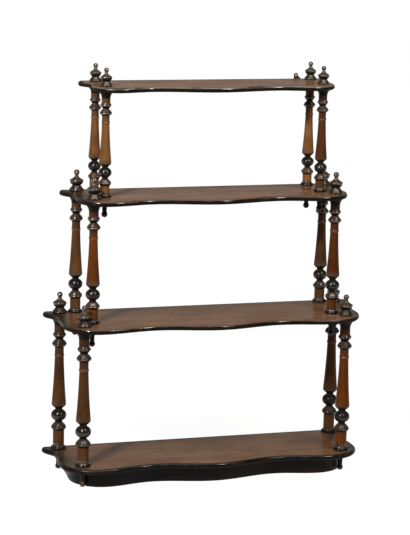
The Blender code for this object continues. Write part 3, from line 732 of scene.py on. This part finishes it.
def finial_outline(tier, scale):
    """Base with its bell, neck, cup with a thick rim, shoulder, stem and ball."""
    neck = FINIAL_LIP + FINIAL_SLOPE
    cup_low = neck + FINIAL_CUP
    cup_high = cup_low + FINIAL_BAND
    stem_low = cup_high + FINIAL_SHOULDER
    stem_high = stem_low + FINIAL_STEM
    ball_low = -math.acos(FINIAL_STEM_R / FINIAL_BALL_R)
    middle = stem_high - FINIAL_BALL_R * math.sin(ball_low)
    base = Stain(FINIAL_BASE.black, FINIAL_BASE.polish * tier.stain.polish)
    stain = FINIAL_STAIN | {"base": base}
    line = [(0.0, 0.0, *stain["base"])]
    stained(line, stain["base"], *rim(FINIAL_BASE_R, 0.0, FINIAL_LIP))
    stained(line, stain["base"], *bow(line[-1][:2], (FINIAL_NECK_R, neck), FINIAL_SLOPE_HOLLOW))
    stained(line, stain["neck"], (FINIAL_NECK_R, neck))
    cup = (FINIAL_CUP_R - RIM_SWELL, cup_low)
    stained(line, stain["underside_stain_and_shade"], *bow((FINIAL_NECK_R, neck), cup, -FINIAL_CUP_SWELL))
    stained(line, stain["cup"], *rim(FINIAL_CUP_R, cup_low, cup_high)[1:])
    stained(line, stain["shoulder"], *bow(line[-1][:2], (FINIAL_STEM_R, stem_low), FINIAL_SHOULDER_HOLLOW))
    points = ball(middle, FINIAL_BALL_R, FINIAL_BALL_R, ball_low, math.pi / 2)
    stained(line, stain["ball"], *points[:-1], (0.0, middle + FINIAL_BALL_R))
    return scaled(line, scale)


def knob_outline(length, neck, end):
    """Ball at the lower end and a neck that flares up to the board."""
    middle = KNOB_BALL_R - length
    neck_angle = math.acos(KNOB_NECK_R / KNOB_BALL_R)
    line = [(0.0, -length, *end)]
    points = ball(middle, KNOB_BALL_R, KNOB_BALL_R, -math.pi / 2, neck_angle)[1:]
    stained(line, end, *points)
    stained(line, neck, *bow(points[-1], (KNOB_TOP_R, 0.0), KNOB_HOLLOW), (0.0, 0.0))
    return line


def turning_tree():
    """Turns an outline about its axis: a sheet of outline by sides, rolled up and closed."""
    tree, given = start_tree("turned_wood", {"Sides": "Int", "Place": "Vector", "Tone": "Float",
                                             "Red": "Float", "Wood": "Material"})
    outline = given["Geometry"]
    count = put(tree, "GeometryNodeAttributeDomainSize", {"Geometry": outline}, component="MESH")
    columns = put(tree, "FunctionNodeIntegerMath", {0: given["Sides"], 1: 1}, operation="ADD")
    sheet = put(tree, "GeometryNodeMeshGrid", {"Vertices X": columns, "Vertices Y": count})
    index = put(tree, "GeometryNodeInputIndex")
    along = put(tree, "FunctionNodeIntegerMath", {0: index, 1: count}, operation="MODULO")
    around = put(tree, "FunctionNodeIntegerMath", {0: index, 1: count}, operation="DIVIDE_FLOOR")
    turns = put(tree, "ShaderNodeMath", {0: around, 1: given["Sides"]}, operation="DIVIDE")
    angle = put(tree, "ShaderNodeMath", {0: turns, 1: math.tau}, operation="MULTIPLY")
    position = put(tree, "GeometryNodeInputPosition")
    drawn = put(tree, "GeometryNodeSampleIndex", {"Geometry": outline, "Value": position, "Index": along},
                data_type="FLOAT_VECTOR")
    rolled = put(tree, "ShaderNodeVectorRotate", {"Vector": drawn, "Angle": angle}, rotation_type="Z_AXIS")
    placed = put(tree, "ShaderNodeVectorMath", {0: rolled, 1: given["Place"]}, operation="ADD")
    shaped = put(tree, "GeometryNodeSetPosition", {"Geometry": sheet, "Position": placed})
    finish = {"tone": given["Tone"], "red": given["Red"]}
    for name in Stain._fields:
        stain = put(tree, "GeometryNodeInputNamedAttribute", {"Name": name}, data_type="FLOAT")
        finish[name] = put(tree, "GeometryNodeSampleIndex", {"Geometry": outline, "Index": along,
                                                             "Value": stain}, data_type="FLOAT")
    for name, value in finish.items():
        shaped = put(tree, "GeometryNodeStoreNamedAttribute",
                     {"Geometry": shaped, "Name": name, "Value": value}, data_type="FLOAT", domain="POINT")
    closed = put(tree, "GeometryNodeMergeByDistance", {"Geometry": shaped, "Distance": MERGE})
    end_tree(tree, closed, given["Wood"])
    return tree


def turn(tree, name, outline, place, wood, tone, red, shape):
    """A turned piece of an outline, standing at its place."""
    line = soften(outline, shape.arris)
    mesh = bpy.data.meshes.new(name)
    mesh.from_pydata([(point[0], 0.0, point[1]) for point in line],
                     [(i, i + 1) for i in range(len(line) - 1)], [])
    for column, field in enumerate(Stain._fields, 2):
        stain = mesh.attributes.new(field, "FLOAT", "POINT")
        stain.data.foreach_set("value", [point[column] for point in line])
    piece = add_object(name, mesh)
    run_tree(piece, tree, {"Sides": shape.sides, "Place": place, "Tone": tone, "Red": red, "Wood": wood})
    bpy.data.meshes.remove(mesh)
    return piece


# Boards and apron: paths are lists of (x, y, normal x, normal y), clockwise seen from above

def arc(x, y, radius, start, end, steps):
    points = []
    for step in range(steps + 1):
        angle = start + (end - start) * step / steps
        nx, ny = math.cos(angle), math.sin(angle)
        points.append((x + radius * nx, y + radius * ny, nx, ny))
    return points


def ease(start, end, sideways, steps):
    """Half a cosine wave from start to end, level at both ends along x, or along y if sideways."""
    dx, dy = end[0] - start[0], end[1] - start[1]
    points = []
    for step in range(steps + 1):
        t = step / steps
        rise = (1.0 - math.cos(math.pi * t)) / 2.0
        slope = math.pi / 2.0 * math.sin(math.pi * t)
        if sideways:
            x, y, tx, ty = start[0] + dx * rise, start[1] + dy * t, dx * slope, dy
        else:
            x, y, tx, ty = start[0] + dx * t, start[1] + dy * rise, dx, dy * slope
        length = math.hypot(tx, ty)
        points.append((x, y, -ty / length, tx / length))
    return points


def front_wave(lobe_x, lobe_y):
    """Serpentine front from the lobe's crest to the middle of the bulge, at x = 0."""
    hollow = (HOLLOW_X, lobe_y + LOBE_RISE)
    crest = (0.0, hollow[1] - BULGE)
    lobe = ease((lobe_x, lobe_y), hollow, False, WAVE_STEPS)
    return lobe + ease(hollow, crest, False, WAVE_STEPS)[1:]


def mirrored(half):
    """Adds the left half to the right half of a path that ends on the centre line."""
    return half + [(-x, y, -nx, ny) for x, y, nx, ny in reversed(half[:-1])]


def board_path(tier, spread, back_ease):
    """Right half from the back corner round the ear, the side and the front, then mirrored."""
    ear_x = tier.back_half + EAR_PAST
    hollow = (ear_x - EAR_FLARE, BACK_Y - EAR_DEPTH)
    lobe_x = tier.front_half + tier.side_past + spread
    lobe_y = tier.front_y - FRONT_PAST
    centre = (lobe_x - tier.lobe_r, lobe_y + tier.lobe_r)
    tip_y = BACK_Y - EAR_TIP_R
    half = arc(ear_x - EAR_TIP_R, tip_y, EAR_TIP_R, math.pi / 2, 0.0, TIP_STEPS)
    half = [(x, y, nx, ny * back_ease) for x, y, nx, ny in half]
    half += ease((ear_x, tip_y), hollow, True, WAVE_STEPS)[1:]
    half += ease(hollow, (lobe_x, centre[1]), True, SIDE_STEPS)[1:]
    half += arc(*centre, tier.lobe_r, 0.0, -math.pi / 2, CORNER_STEPS)[1:]
    half += front_wave(centre[0], lobe_y)[1:]
    return mirrored(half)


def board_mesh(name, path, low_z, high_z, rub_and_sheen, shape):
    """A board with a half-round edge: walnut, then black that is rubbed and lightened as a painted sheen,
    polished and dull in turn.
    """
    bm = bmesh.new()
    starts = (*rub_and_sheen, shape.dull_from)
    half = (high_z - low_z) / 2
    slopes = [math.pi * step / (2 * EDGE_STEPS) for step in range(2 * EDGE_STEPS + 1)]
    drawn = [(half * (1.0 - math.sin(slope)), half * (1.0 + math.cos(slope))) for slope in slopes]
    drawn = [(half + shape.flat_rim, 2 * half)] + drawn + [(half + shape.flat_rim, 0.0)]
    rings = [[bm.verts.new((x - inset * nx, y - inset * ny, low_z + z)) for x, y, nx, ny in path]
             for inset, z in drawn]
    slopes = [0.0] + slopes + [math.pi]
    for upper, lower, slope, after in zip(rings, rings[1:], slopes, slopes[1:]):
        middle = (slope + after) / 2
        for i in range(len(path)):
            face = bm.faces.new((upper[i - 1], upper[i], lower[i], lower[i - 1]))
            face.material_index = sum(middle > start for start in starts)
    bm.faces.new(rings[0])
    bm.faces.new(rings[-1]).material_index = len(starts)
    return plain_mesh(bm, name)


def apron_paths():
    """Right return and right half of the front rail, as their outer faces run, mitred between.

    The return runs just inside the back knob and splays out to the corner, whose radius clears
    the front knob.
    """
    tier = TIERS["c"]
    keep_out = max(KNOB_TOP_R, KNOB_BALL_R) + KNOB_GAP
    side_x = tier.back_half - keep_out
    corner_x = side_x + APRON_SPLAY
    front_y = tier.front_y - FRONT_PAST + APRON_FRONT_IN
    p, q = corner_x - tier.front_half, tier.front_y - front_y
    total = p + q + keep_out
    radius = total + math.sqrt(total ** 2 - (p * p + q * q - keep_out ** 2))
    centre = (corner_x - radius, front_y + radius)
    mitre = -math.pi / 4
    gap = MITRE_GAP / 2 / (radius - APRON_THICK)
    side = [(side_x, BACK_Y, 1.0, 0.0)]
    side += ease((side_x, BACK_Y - APRON_STRAIGHT), (corner_x, centre[1]), True, SIDE_STEPS)
    side += arc(*centre, radius, 0.0, mitre + gap, CORNER_STEPS)[1:]
    front = arc(*centre, radius, mitre - gap, -math.pi / 2, CORNER_STEPS)
    front += front_wave(centre[0], front_y)[1:]
    return side, front


def rail_mesh(name, path, low_z, high_z, arris):
    """An upright rail with eased edges along a path of its outer face."""
    bm = bmesh.new()
    eased = arris * (1.0 - math.sqrt(0.5))
    corner = [(arris, low_z), (eased, low_z + eased), (0.0, low_z + arris)]
    section = corner + [(0.0, high_z), (APRON_THICK, high_z)]
    section += [(APRON_THICK - inset, z) for inset, z in reversed(corner)]
    rings = [[bm.verts.new((x - inset * nx, y - inset * ny, z)) for inset, z in section]
             for x, y, nx, ny in path]
    for here, after in zip(rings, rings[1:]):
        for i in range(len(section)):
            bm.faces.new((here[i - 1], here[i], after[i], after[i - 1]))
    bm.faces.new(rings[0])
    bm.faces.new(rings[-1])
    return plain_mesh(bm, name)


def block_mesh(name, low, high, arris):
    """A sawn block with eased edges."""
    bm = bmesh.new()
    bmesh.ops.create_cube(bm, size=1.0)
    bmesh.ops.scale(bm, verts=bm.verts, vec=high - low)
    bmesh.ops.translate(bm, verts=bm.verts, vec=(low + high) / 2)
    bmesh.ops.bevel(bm, geom=bm.edges[:], offset=arris, segments=ARRIS_STEPS, profile=0.5,
                    affect="EDGES")
    return plain_mesh(bm, name)


# Hanger plates and screws

def add_loop(curve, points):
    spline = curve.splines.new("POLY")
    spline.points.add(len(points) - 1)
    for point, (x, y) in zip(spline.points, points):
        point.co = (x, y, 0.0, 1.0)
    spline.use_cyclic_u = True


def plate_piece(name, node, mirror, screws, shape):
    """A plate cut from sheet: eye at the inner end, a slope to the foot, and drilled holes."""
    low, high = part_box(node)
    inner_x = (high.x if mirror < 0 else low.x) + mirror * PLATE_EYE_R
    board_top = low.z + PLATE_FOOT_DROP
    eye = arc(0.0, PLATE_EYE_HEIGHT, PLATE_EYE_R, math.pi, -PLATE_SLOPE_ANGLE, CORNER_STEPS)
    outline = [(x, z) for x, z, _, _ in eye]
    outline += [(PLATE_FOOT, 0.0), (PLATE_FOOT, -PLATE_FOOT_DROP), (-PLATE_EYE_R, -PLATE_FOOT_DROP)]
    holes = [(0.0, PLATE_EYE_HEIGHT, PLATE_EYE_HOLE_R)]
    for screw in screws:
        place = axis(screw)
        holes.append((mirror * (place.x - inner_x), place.z - board_top, SCREW_HEAD_R))
    curve = bpy.data.curves.new(name, "CURVE")
    curve.dimensions = "2D"
    curve.fill_mode = "BOTH"
    curve.bevel_depth = shape.plate_arris
    curve.bevel_resolution = ARRIS_STEPS
    curve.offset = -shape.plate_arris
    curve.extrude = (high.y - low.y) / 2 - shape.plate_arris
    add_loop(curve, outline)
    for x, z, radius in holes:
        add_loop(curve, [point[:2] for point in arc(x, z, radius, 0.0, math.tau, HOLE_SIDES)[:-1]])
    drawn = add_object(name + "_drawn", curve)
    mesh = evaluated_mesh(drawn)
    bpy.data.objects.remove(drawn)
    mesh.materials.clear()
    upright = Matrix(((mirror, 0, 0, inner_x), (0, 0, -1, (low.y + high.y) / 2), (0, 1, 0, board_top),
                      (0, 0, 0, 1)))
    mesh.transform(upright)
    close_mesh(mesh)
    mesh.name = name
    return add_object(name, mesh)


def screw_tree():
    """Countersunk slotted screws, one at each point, heads towards the wall, slots as they fell."""
    tree, given = start_tree("hanger_screws", {
        "Head radius": "Float", "Head height": "Float", "Shank radius": "Float", "Tip radius": "Float",
        "Length": "Float", "Slot width": "Float", "Slot depth": "Float", "Seed": "Int",
        "Metal": "Material"})
    head = put(tree, "GeometryNodeMeshCone", {
        "Vertices": HOLE_SIDES, "Radius Top": given["Head radius"],
        "Radius Bottom": given["Shank radius"], "Depth": given["Head height"]})
    slot_size = put(tree, "ShaderNodeCombineXYZ", {"X": 1.0, "Y": given["Slot width"],
                                                   "Z": given["Slot depth"]})
    slot = put(tree, "GeometryNodeMeshCube", {"Size": slot_size})
    head_top = put(tree, "ShaderNodeCombineXYZ", {"Z": given["Head height"]})
    cutter = put(tree, "GeometryNodeTransform", {"Geometry": slot, "Translation": head_top})
    slotted = put(tree, "GeometryNodeMeshBoolean", {"Mesh 1": head, "Mesh 2": cutter},
                  operation="DIFFERENCE")
    shank = put(tree, "GeometryNodeMeshCone", {
        "Vertices": HOLE_SIDES, "Radius Top": given["Shank radius"],
        "Radius Bottom": given["Tip radius"], "Depth": given["Length"]})
    below = put(tree, "ShaderNodeMath", {0: given["Length"], 1: -1.0}, operation="MULTIPLY")
    low = put(tree, "ShaderNodeCombineXYZ", {"Z": below})
    sunk = put(tree, "GeometryNodeTransform", {"Geometry": shank, "Translation": low})
    whole = put(tree, "GeometryNodeJoinGeometry")
    for part in (slotted, sunk):
        tree.links.new(part.outputs[0], whole.inputs["Geometry"])
    spin = put(tree, "FunctionNodeRandomValue", {"Min": (0.0, 0.0, 0.0), "Max": (0.0, 0.0, math.pi),
                                                 "Seed": given["Seed"]}, data_type="FLOAT_VECTOR")
    rows = put(tree, "GeometryNodeInstanceOnPoints", {
        "Points": given["Geometry"], "Instance": whole, "Rotation": (-math.pi / 2, 0.0, 0.0)})
    turned = put(tree, "GeometryNodeRotateInstances", {"Instances": rows, "Rotation": spin,
                                                       "Local Space": True})
    end_tree(tree, turned, given["Metal"])
    return tree


# Operators

class SHELF_OT_boards(bpy.types.Operator):
    """Make the four serpentine boards"""

    bl_idname = "shelf.boards"
    bl_label = "Boards"

    def execute(self, context):
        shape, finish = context.scene.shelf_shape, context.scene.shelf_finish
        # The boards' arris is rubbed grey, partly wear and partly a painted sheen along it
        rubbed = ebonised_edge("board_arris_rub_and_sheen", finish.rubbed, finish.ebony,
                               roughness=(0.2, 0.4), specular=0.5)
        pale = ebonised_edge("top_arris_rub_and_sheen", finish.pale_rub_and_sheen, finish.ebony,
                             roughness=(0.12, 0.4), specular=0.8)
        under = ebonised_edge("dull_board_underside", finish.ebony, finish.ebony_worn,
                              roughness=(0.6, 0.7), specular=0.1)
        for node, tier, spread, ear_black, rub_and_sheen, gloss in BOARDS:
            low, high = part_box(node)
            name = "polished_" + node
            path = board_path(TIERS[tier], spread, shape.back_ease)
            mesh = board_mesh(name, path, low.z, high.z, rub_and_sheen, shape)
            top = polished_walnut(finish, node, TIERS[tier].back_half + EAR_PAST, ear_black)
            arris = pale if node == "top_board" else rubbed
            edge = ebonised_edge("ebonised_edge_" + node, finish.ebony, finish.ebony_worn,
                                 roughness=(0.12, 0.4), specular=gloss)
            for material in (top, arris, edge, under):
                mesh.materials.append(material)
            settle(add_object(name, mesh), "board_wood", node)
        return {"FINISHED"}


def turned_nodes(kind):
    """Tier, ending, box and axis of each solid of a turned kind."""
    for letter in TIERS:
        for place in PLACES:
            ending = f"{letter}_{place}"
            low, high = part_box(f"{kind}_{ending}")
            yield letter, ending, low, high, ((low.x + high.x) / 2, (low.y + high.y) / 2)


class SHELF_OT_columns(bpy.types.Operator):
    """Turn the twelve columns"""

    bl_idname = "shelf.columns"
    bl_label = "Columns"

    def execute(self, context):
        shape, finish = context.scene.shelf_shape, context.scene.shelf_finish
        wood = stained_beech(finish, "stained_turned_beech", roughness=(0.36, 0.44))
        tree = turning_tree()
        for letter, ending, low, high, middle in turned_nodes("column"):
            scale = (high.x - low.x) / 2 / FOOT_R
            gloss = COLUMN_GLOSS.get(ending, 1.0)
            outline = column_outline(TIERS[letter], high.z - low.z, scale, gloss)
            piece = turn(tree, "turned_column_" + ending, outline, (*middle, low.z), wood,
                         *COLUMN_WOODS[ending], shape)
            settle(piece, "column_wood", "column_" + ending)
        return {"FINISHED"}


class SHELF_OT_finials(bpy.types.Operator):
    """Turn the twelve finials"""

    bl_idname = "shelf.finials"
    bl_label = "Finials"

    def execute(self, context):
        shape, finish = context.scene.shelf_shape, context.scene.shelf_finish
        wood = stained_beech(finish, "stained_finial_beech", roughness=(0.3, 0.4))
        tree = bpy.data.node_groups["turned_wood"]
        for letter, ending, low, high, middle in turned_nodes("finial"):
            outline = finial_outline(TIERS[letter], (high.x - low.x) / 2 / FINIAL_BASE_R)
            foot = (*middle, high.z - outline[-1][1])
            piece = turn(tree, "turned_finial_" + ending, outline, foot, wood, *FINIAL_WOOD, shape)
            settle(piece, "finial_wood", "finial_" + ending)
        return {"FINISHED"}


class SHELF_OT_drop_knobs(bpy.types.Operator):
    """Turn the twelve drop knobs"""

    bl_idname = "shelf.drop_knobs"
    bl_label = "Drop knobs"

    def execute(self, context):
        shape, finish = context.scene.shelf_shape, context.scene.shelf_finish
        wood = stained_beech(finish, "stained_knob_beech", roughness=(0.36, 0.44))
        tree = bpy.data.node_groups["turned_wood"]
        carriers = {"a": "upper_board", "b": "lower_board", "c": "bottom_board"}
        for letter, ending, low, _, middle in turned_nodes("drop_knob"):
            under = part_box(carriers[letter])[0].z
            outline = knob_outline(under - low.z, *KNOBS.get(ending, PLAIN_KNOB))
            piece = turn(tree, "turned_knob_" + ending, outline, (*middle, under), wood, *KNOB_WOOD, shape)
            settle(piece, "knob_wood", "drop_knob_" + ending)
        return {"FINISHED"}


class SHELF_OT_apron(bpy.types.Operator):
    """Make the apron's front rail and returns"""

    bl_idname = "shelf.apron"
    bl_label = "Apron"

    def execute(self, context):
        shape, finish = context.scene.shelf_shape, context.scene.shelf_finish
        wood = ebonised_edge("ebonised_apron", finish.apron, finish.ebony_worn,
                             roughness=(0.4, 0.5), specular=0.1)
        side, front = apron_paths()
        left = [(-x, y, -nx, ny) for x, y, nx, ny in side]
        rails = {"apron_front": mirrored(front), "apron_return_right": side, "apron_return_left": left}
        for node, path in rails.items():
            low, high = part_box(node)
            mesh = rail_mesh("ebonised_" + node, path, low.z, high.z, shape.rail_arris)
            mesh.materials.append(wood)
            settle(add_object("ebonised_" + node, mesh), "apron_wood", node)
        return {"FINISHED"}


class SHELF_OT_glue_blocks(bpy.types.Operator):
    """Make the glue blocks behind the apron"""

    bl_idname = "shelf.glue_blocks"
    bl_label = "Glue blocks"

    def execute(self, context):
        shape, finish = context.scene.shelf_shape, context.scene.shelf_finish
        wood = raw_pine(finish)
        for node in sorted(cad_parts):
            if node.startswith("glue_block_"):
                mesh = block_mesh("pine_" + node, *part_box(node), shape.block_arris)
                mesh.materials.append(wood)
                settle(add_object("pine_" + node, mesh), "block_wood", node)
        return {"FINISHED"}


class SHELF_OT_hanger_plates(bpy.types.Operator):
    """Make the two hanger plates"""

    bl_idname = "shelf.hanger_plates"
    bl_label = "Hanger plates"

    def execute(self, context):
        shape, finish = context.scene.shelf_shape, context.scene.shelf_finish
        metal = dulled_metal("tarnished_brass", finish.brass, finish.brass_dark,
                             spot_mm=3.0, roughness=(0.35, 0.55))
        for side, mirror in (("left", -1), ("right", 1)):
            node = "hanger_plate_" + side
            screws = [f"hanger_screw_{side}_{place}" for place in ("inner", "outer")]
            piece = plate_piece("brass_" + node, node, mirror, screws, shape)
            piece.data.materials.append(metal)
            settle(piece, "plate_brass", node)
        return {"FINISHED"}


class SHELF_OT_hanger_screws(bpy.types.Operator):
    """Make the four screws of the hanger plates"""

    bl_idname = "shelf.hanger_screws"
    bl_label = "Hanger screws"

    def execute(self, context):
        shape, finish = context.scene.shelf_shape, context.scene.shelf_finish
        metal = dulled_metal("rusted_steel", finish.steel, finish.steel_dark,
                             spot_mm=1.5, roughness=(0.4, 0.6))
        nodes = sorted(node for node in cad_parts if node.startswith("hanger_screw_"))
        points = bpy.data.meshes.new("screw_places")
        boxes = [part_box(node) for node in nodes]
        points.from_pydata([((low.x + high.x) / 2, high.y - SCREW_HEAD, (low.z + high.z) / 2)
                            for low, high in boxes], [], [])
        piece = add_object("steel_hanger_screws", points)
        low, high = boxes[0]
        run_tree(piece, screw_tree(), {
            "Head radius": SCREW_HEAD_R, "Head height": SCREW_HEAD, "Shank radius": SCREW_R,
            "Tip radius": SCREW_TIP_R, "Length": high.y - low.y - SCREW_HEAD,
            "Slot width": shape.slot_width, "Slot depth": shape.slot_depth, "Seed": SLOT_SEED,
            "Metal": metal})
        settle(piece, "screw_steel", *nodes)
        return {"FINISHED"}


# Stage

VIEW_REACH = 4.0  # how far the camera sees, in radii of the floor
LAMP_AIM = Vector((0.0, 0.0, 0.45))
LEFT_LAMP = Vector((-1.67, -1.65, 2.13))
RIGHT_LAMP = Vector((0.83, -1.55, 1.87))
TOP_LAMP = Vector((-0.1, -0.7, 2.4))
FLOOR_SIDES = 64
FLOOR_DROP = 0.0002

# Depths over which the floor's white sets in before the shelf, and distances over which it grows
WHITE_FROM_Y = -0.75
WHITE_BY_Y = -0.45
GROW_FROM = 0.5
GROW_BY = 3.0
FAR_FROM = 1.8
FAR_BY = 4.5


def add_lamp(name, place, power, width, depth):
    light = bpy.data.lights.new(name, "AREA")
    light.shape = "RECTANGLE"
    light.size = width
    light.size_y = depth
    light.energy = power
    lamp = add_object(name, light)
    lamp.location = place
    lamp.rotation_euler = (LAMP_AIM - place).to_track_quat("-Z", "Y").to_euler()
    return light


def add_floor(stage):
    """A pale floor that looks white where the photograph shows it, and keeps the shelf's shadow."""
    material, tree, place = start_finish("pale_floor")
    depth = put(tree, "ShaderNodeSeparateXYZ", {"Vector": place}).outputs["Y"]
    behind = put(tree, "ShaderNodeMapRange", {"Value": depth, "From Min": WHITE_FROM_Y,
                                              "From Max": WHITE_BY_Y}, interpolation_type="SMOOTHSTEP")
    radius = put(tree, "ShaderNodeVectorMath", {0: place}, operation="LENGTH").outputs["Value"]
    grown = put(tree, "ShaderNodeMapRange", {"Value": radius, "From Min": GROW_FROM, "From Max": GROW_BY,
                                             "To Min": stage.floor_glow})
    near = put(tree, "ShaderNodeMath", {0: behind, 1: grown}, operation="MULTIPLY")
    far = put(tree, "ShaderNodeMapRange", {"Value": radius, "From Min": FAR_FROM, "From Max": FAR_BY})
    glow = put(tree, "ShaderNodeMath", {0: near, 1: far}, operation="MAXIMUM")
    rays = put(tree, "ShaderNodeLightPath").outputs
    seen = put(tree, "ShaderNodeMath", {0: rays["Is Camera Ray"], 1: rays["Is Glossy Ray"]},
               operation="MAXIMUM")
    seen = put(tree, "ShaderNodeMath", {0: seen, 1: rays["Is Transmission Ray"]}, operation="MAXIMUM")
    strength = put(tree, "ShaderNodeMath", {0: seen, 1: glow}, operation="MULTIPLY")
    white = put(tree, "ShaderNodeEmission", {"Strength": strength})
    matt = put(tree, "ShaderNodeBsdfDiffuse", {"Color": stage.floor})
    both = put(tree, "ShaderNodeAddShader", {0: matt, 1: white})
    put(tree, "ShaderNodeOutputMaterial", {"Surface": both})
    bm = bmesh.new()
    bmesh.ops.create_circle(bm, cap_ends=True, segments=FLOOR_SIDES, radius=stage.floor_radius)
    bmesh.ops.translate(bm, verts=bm.verts, vec=(0.0, 0.0, -FLOOR_DROP))
    mesh = bpy.data.meshes.new("floor")
    bm.to_mesh(mesh)
    bm.free()
    mesh.materials.append(material)
    add_object("floor", mesh)


def add_surroundings(stage):
    """A dim room with a brighter backdrop low behind the shelf, which the boards' polish mirrors."""
    world = bpy.data.worlds.new("studio")
    bpy.context.scene.world = world
    world.use_nodes = True
    tree = world.node_tree
    tree.nodes.clear()
    direction = put(tree, "ShaderNodeTexCoord").outputs["Generated"]
    towards = put(tree, "ShaderNodeSeparateXYZ", {"Vector": direction}).outputs
    behind = put(tree, "ShaderNodeMapRange", {"Value": towards["Y"], "From Min": 0.0, "From Max": 0.5})
    low = put(tree, "ShaderNodeMapRange", {"Value": towards["Z"], "From Min": 0.6, "From Max": 0.3})
    share = put(tree, "ShaderNodeMath", {0: behind, 1: low}, operation="MULTIPLY")
    colour = put(tree, "ShaderNodeMix", {"Factor": share, "A": stage.room, "B": stage.backdrop},
                 data_type="RGBA")
    light = put(tree, "ShaderNodeBackground", {"Color": colour, "Strength": 1.0})
    put(tree, "ShaderNodeOutputWorld", {"Surface": light})


class SHELF_OT_stage(bpy.types.Operator):
    """Set up the camera, the lamps, the surroundings and the floor"""

    bl_idname = "shelf.stage"
    bl_label = "Stage"

    def execute(self, context):
        stage = context.scene.shelf_stage
        camera = bpy.data.cameras.new("photo_camera")
        camera.sensor_width = SENSOR_MM
        camera.lens = CAMERA_FOCUS_PX * SENSOR_MM / max(PHOTO_WIDTH, PHOTO_HEIGHT)
        camera.clip_end = VIEW_REACH * stage.floor_radius
        viewer = add_object("photo_camera", camera)
        viewer.location = CAMERA_PLACE
        viewer.rotation_euler = CAMERA_TURN
        context.scene.camera = viewer
        add_lamp("left_lamp", LEFT_LAMP, stage.left_power, stage.lamp_size, stage.lamp_size)
        add_lamp("right_lamp", RIGHT_LAMP, stage.right_power, stage.lamp_size, stage.lamp_size)
        top = add_lamp("top_lamp", TOP_LAMP, stage.top_power, stage.top_width, stage.top_depth)
        top.color = stage.top_tint[:3]
        add_floor(stage)
        add_surroundings(stage)
        context.scene.view_settings.view_transform = "Standard"
        return {"FINISHED"}


# Add-on

PIECES = (SHELF_OT_boards, SHELF_OT_columns, SHELF_OT_finials, SHELF_OT_drop_knobs, SHELF_OT_apron,
          SHELF_OT_glue_blocks, SHELF_OT_hanger_plates, SHELF_OT_hanger_screws, SHELF_OT_stage)
GROUPS = {"shelf_shape": ShelfShape, "shelf_finish": ShelfFinish, "shelf_stage": ShelfStage}


class SHELF_PT_pieces(bpy.types.Panel):
    """Pieces of the shelf and what can be changed about them"""

    bl_label = "Wall shelf"
    bl_space_type = "VIEW_3D"
    bl_region_type = "UI"
    bl_category = "Shelf"

    def draw(self, context):
        for operator in PIECES:
            self.layout.operator(operator.bl_idname)
        for name, group in GROUPS.items():
            box = self.layout.box()
            for prop in group.__annotations__:
                box.prop(getattr(context.scene, name), prop)


def register():
    for kind in (*GROUPS.values(), *PIECES, SHELF_PT_pieces):
        bpy.utils.register_class(kind)
    for name, group in GROUPS.items():
        setattr(bpy.types.Scene, name, PointerProperty(type=group))


def unregister():
    for name in GROUPS:
        delattr(bpy.types.Scene, name)
    for kind in reversed((*GROUPS.values(), *PIECES, SHELF_PT_pieces)):
        bpy.utils.unregister_class(kind)


def main():
    register()
    bpy.ops.shelf.boards()
    bpy.ops.shelf.columns()
    bpy.ops.shelf.finials()
    bpy.ops.shelf.drop_knobs()
    bpy.ops.shelf.apron()
    bpy.ops.shelf.glue_blocks()
    bpy.ops.shelf.hanger_plates()
    bpy.ops.shelf.hanger_screws()
    bpy.ops.shelf.stage()


if __name__ == "__main__":
    main()
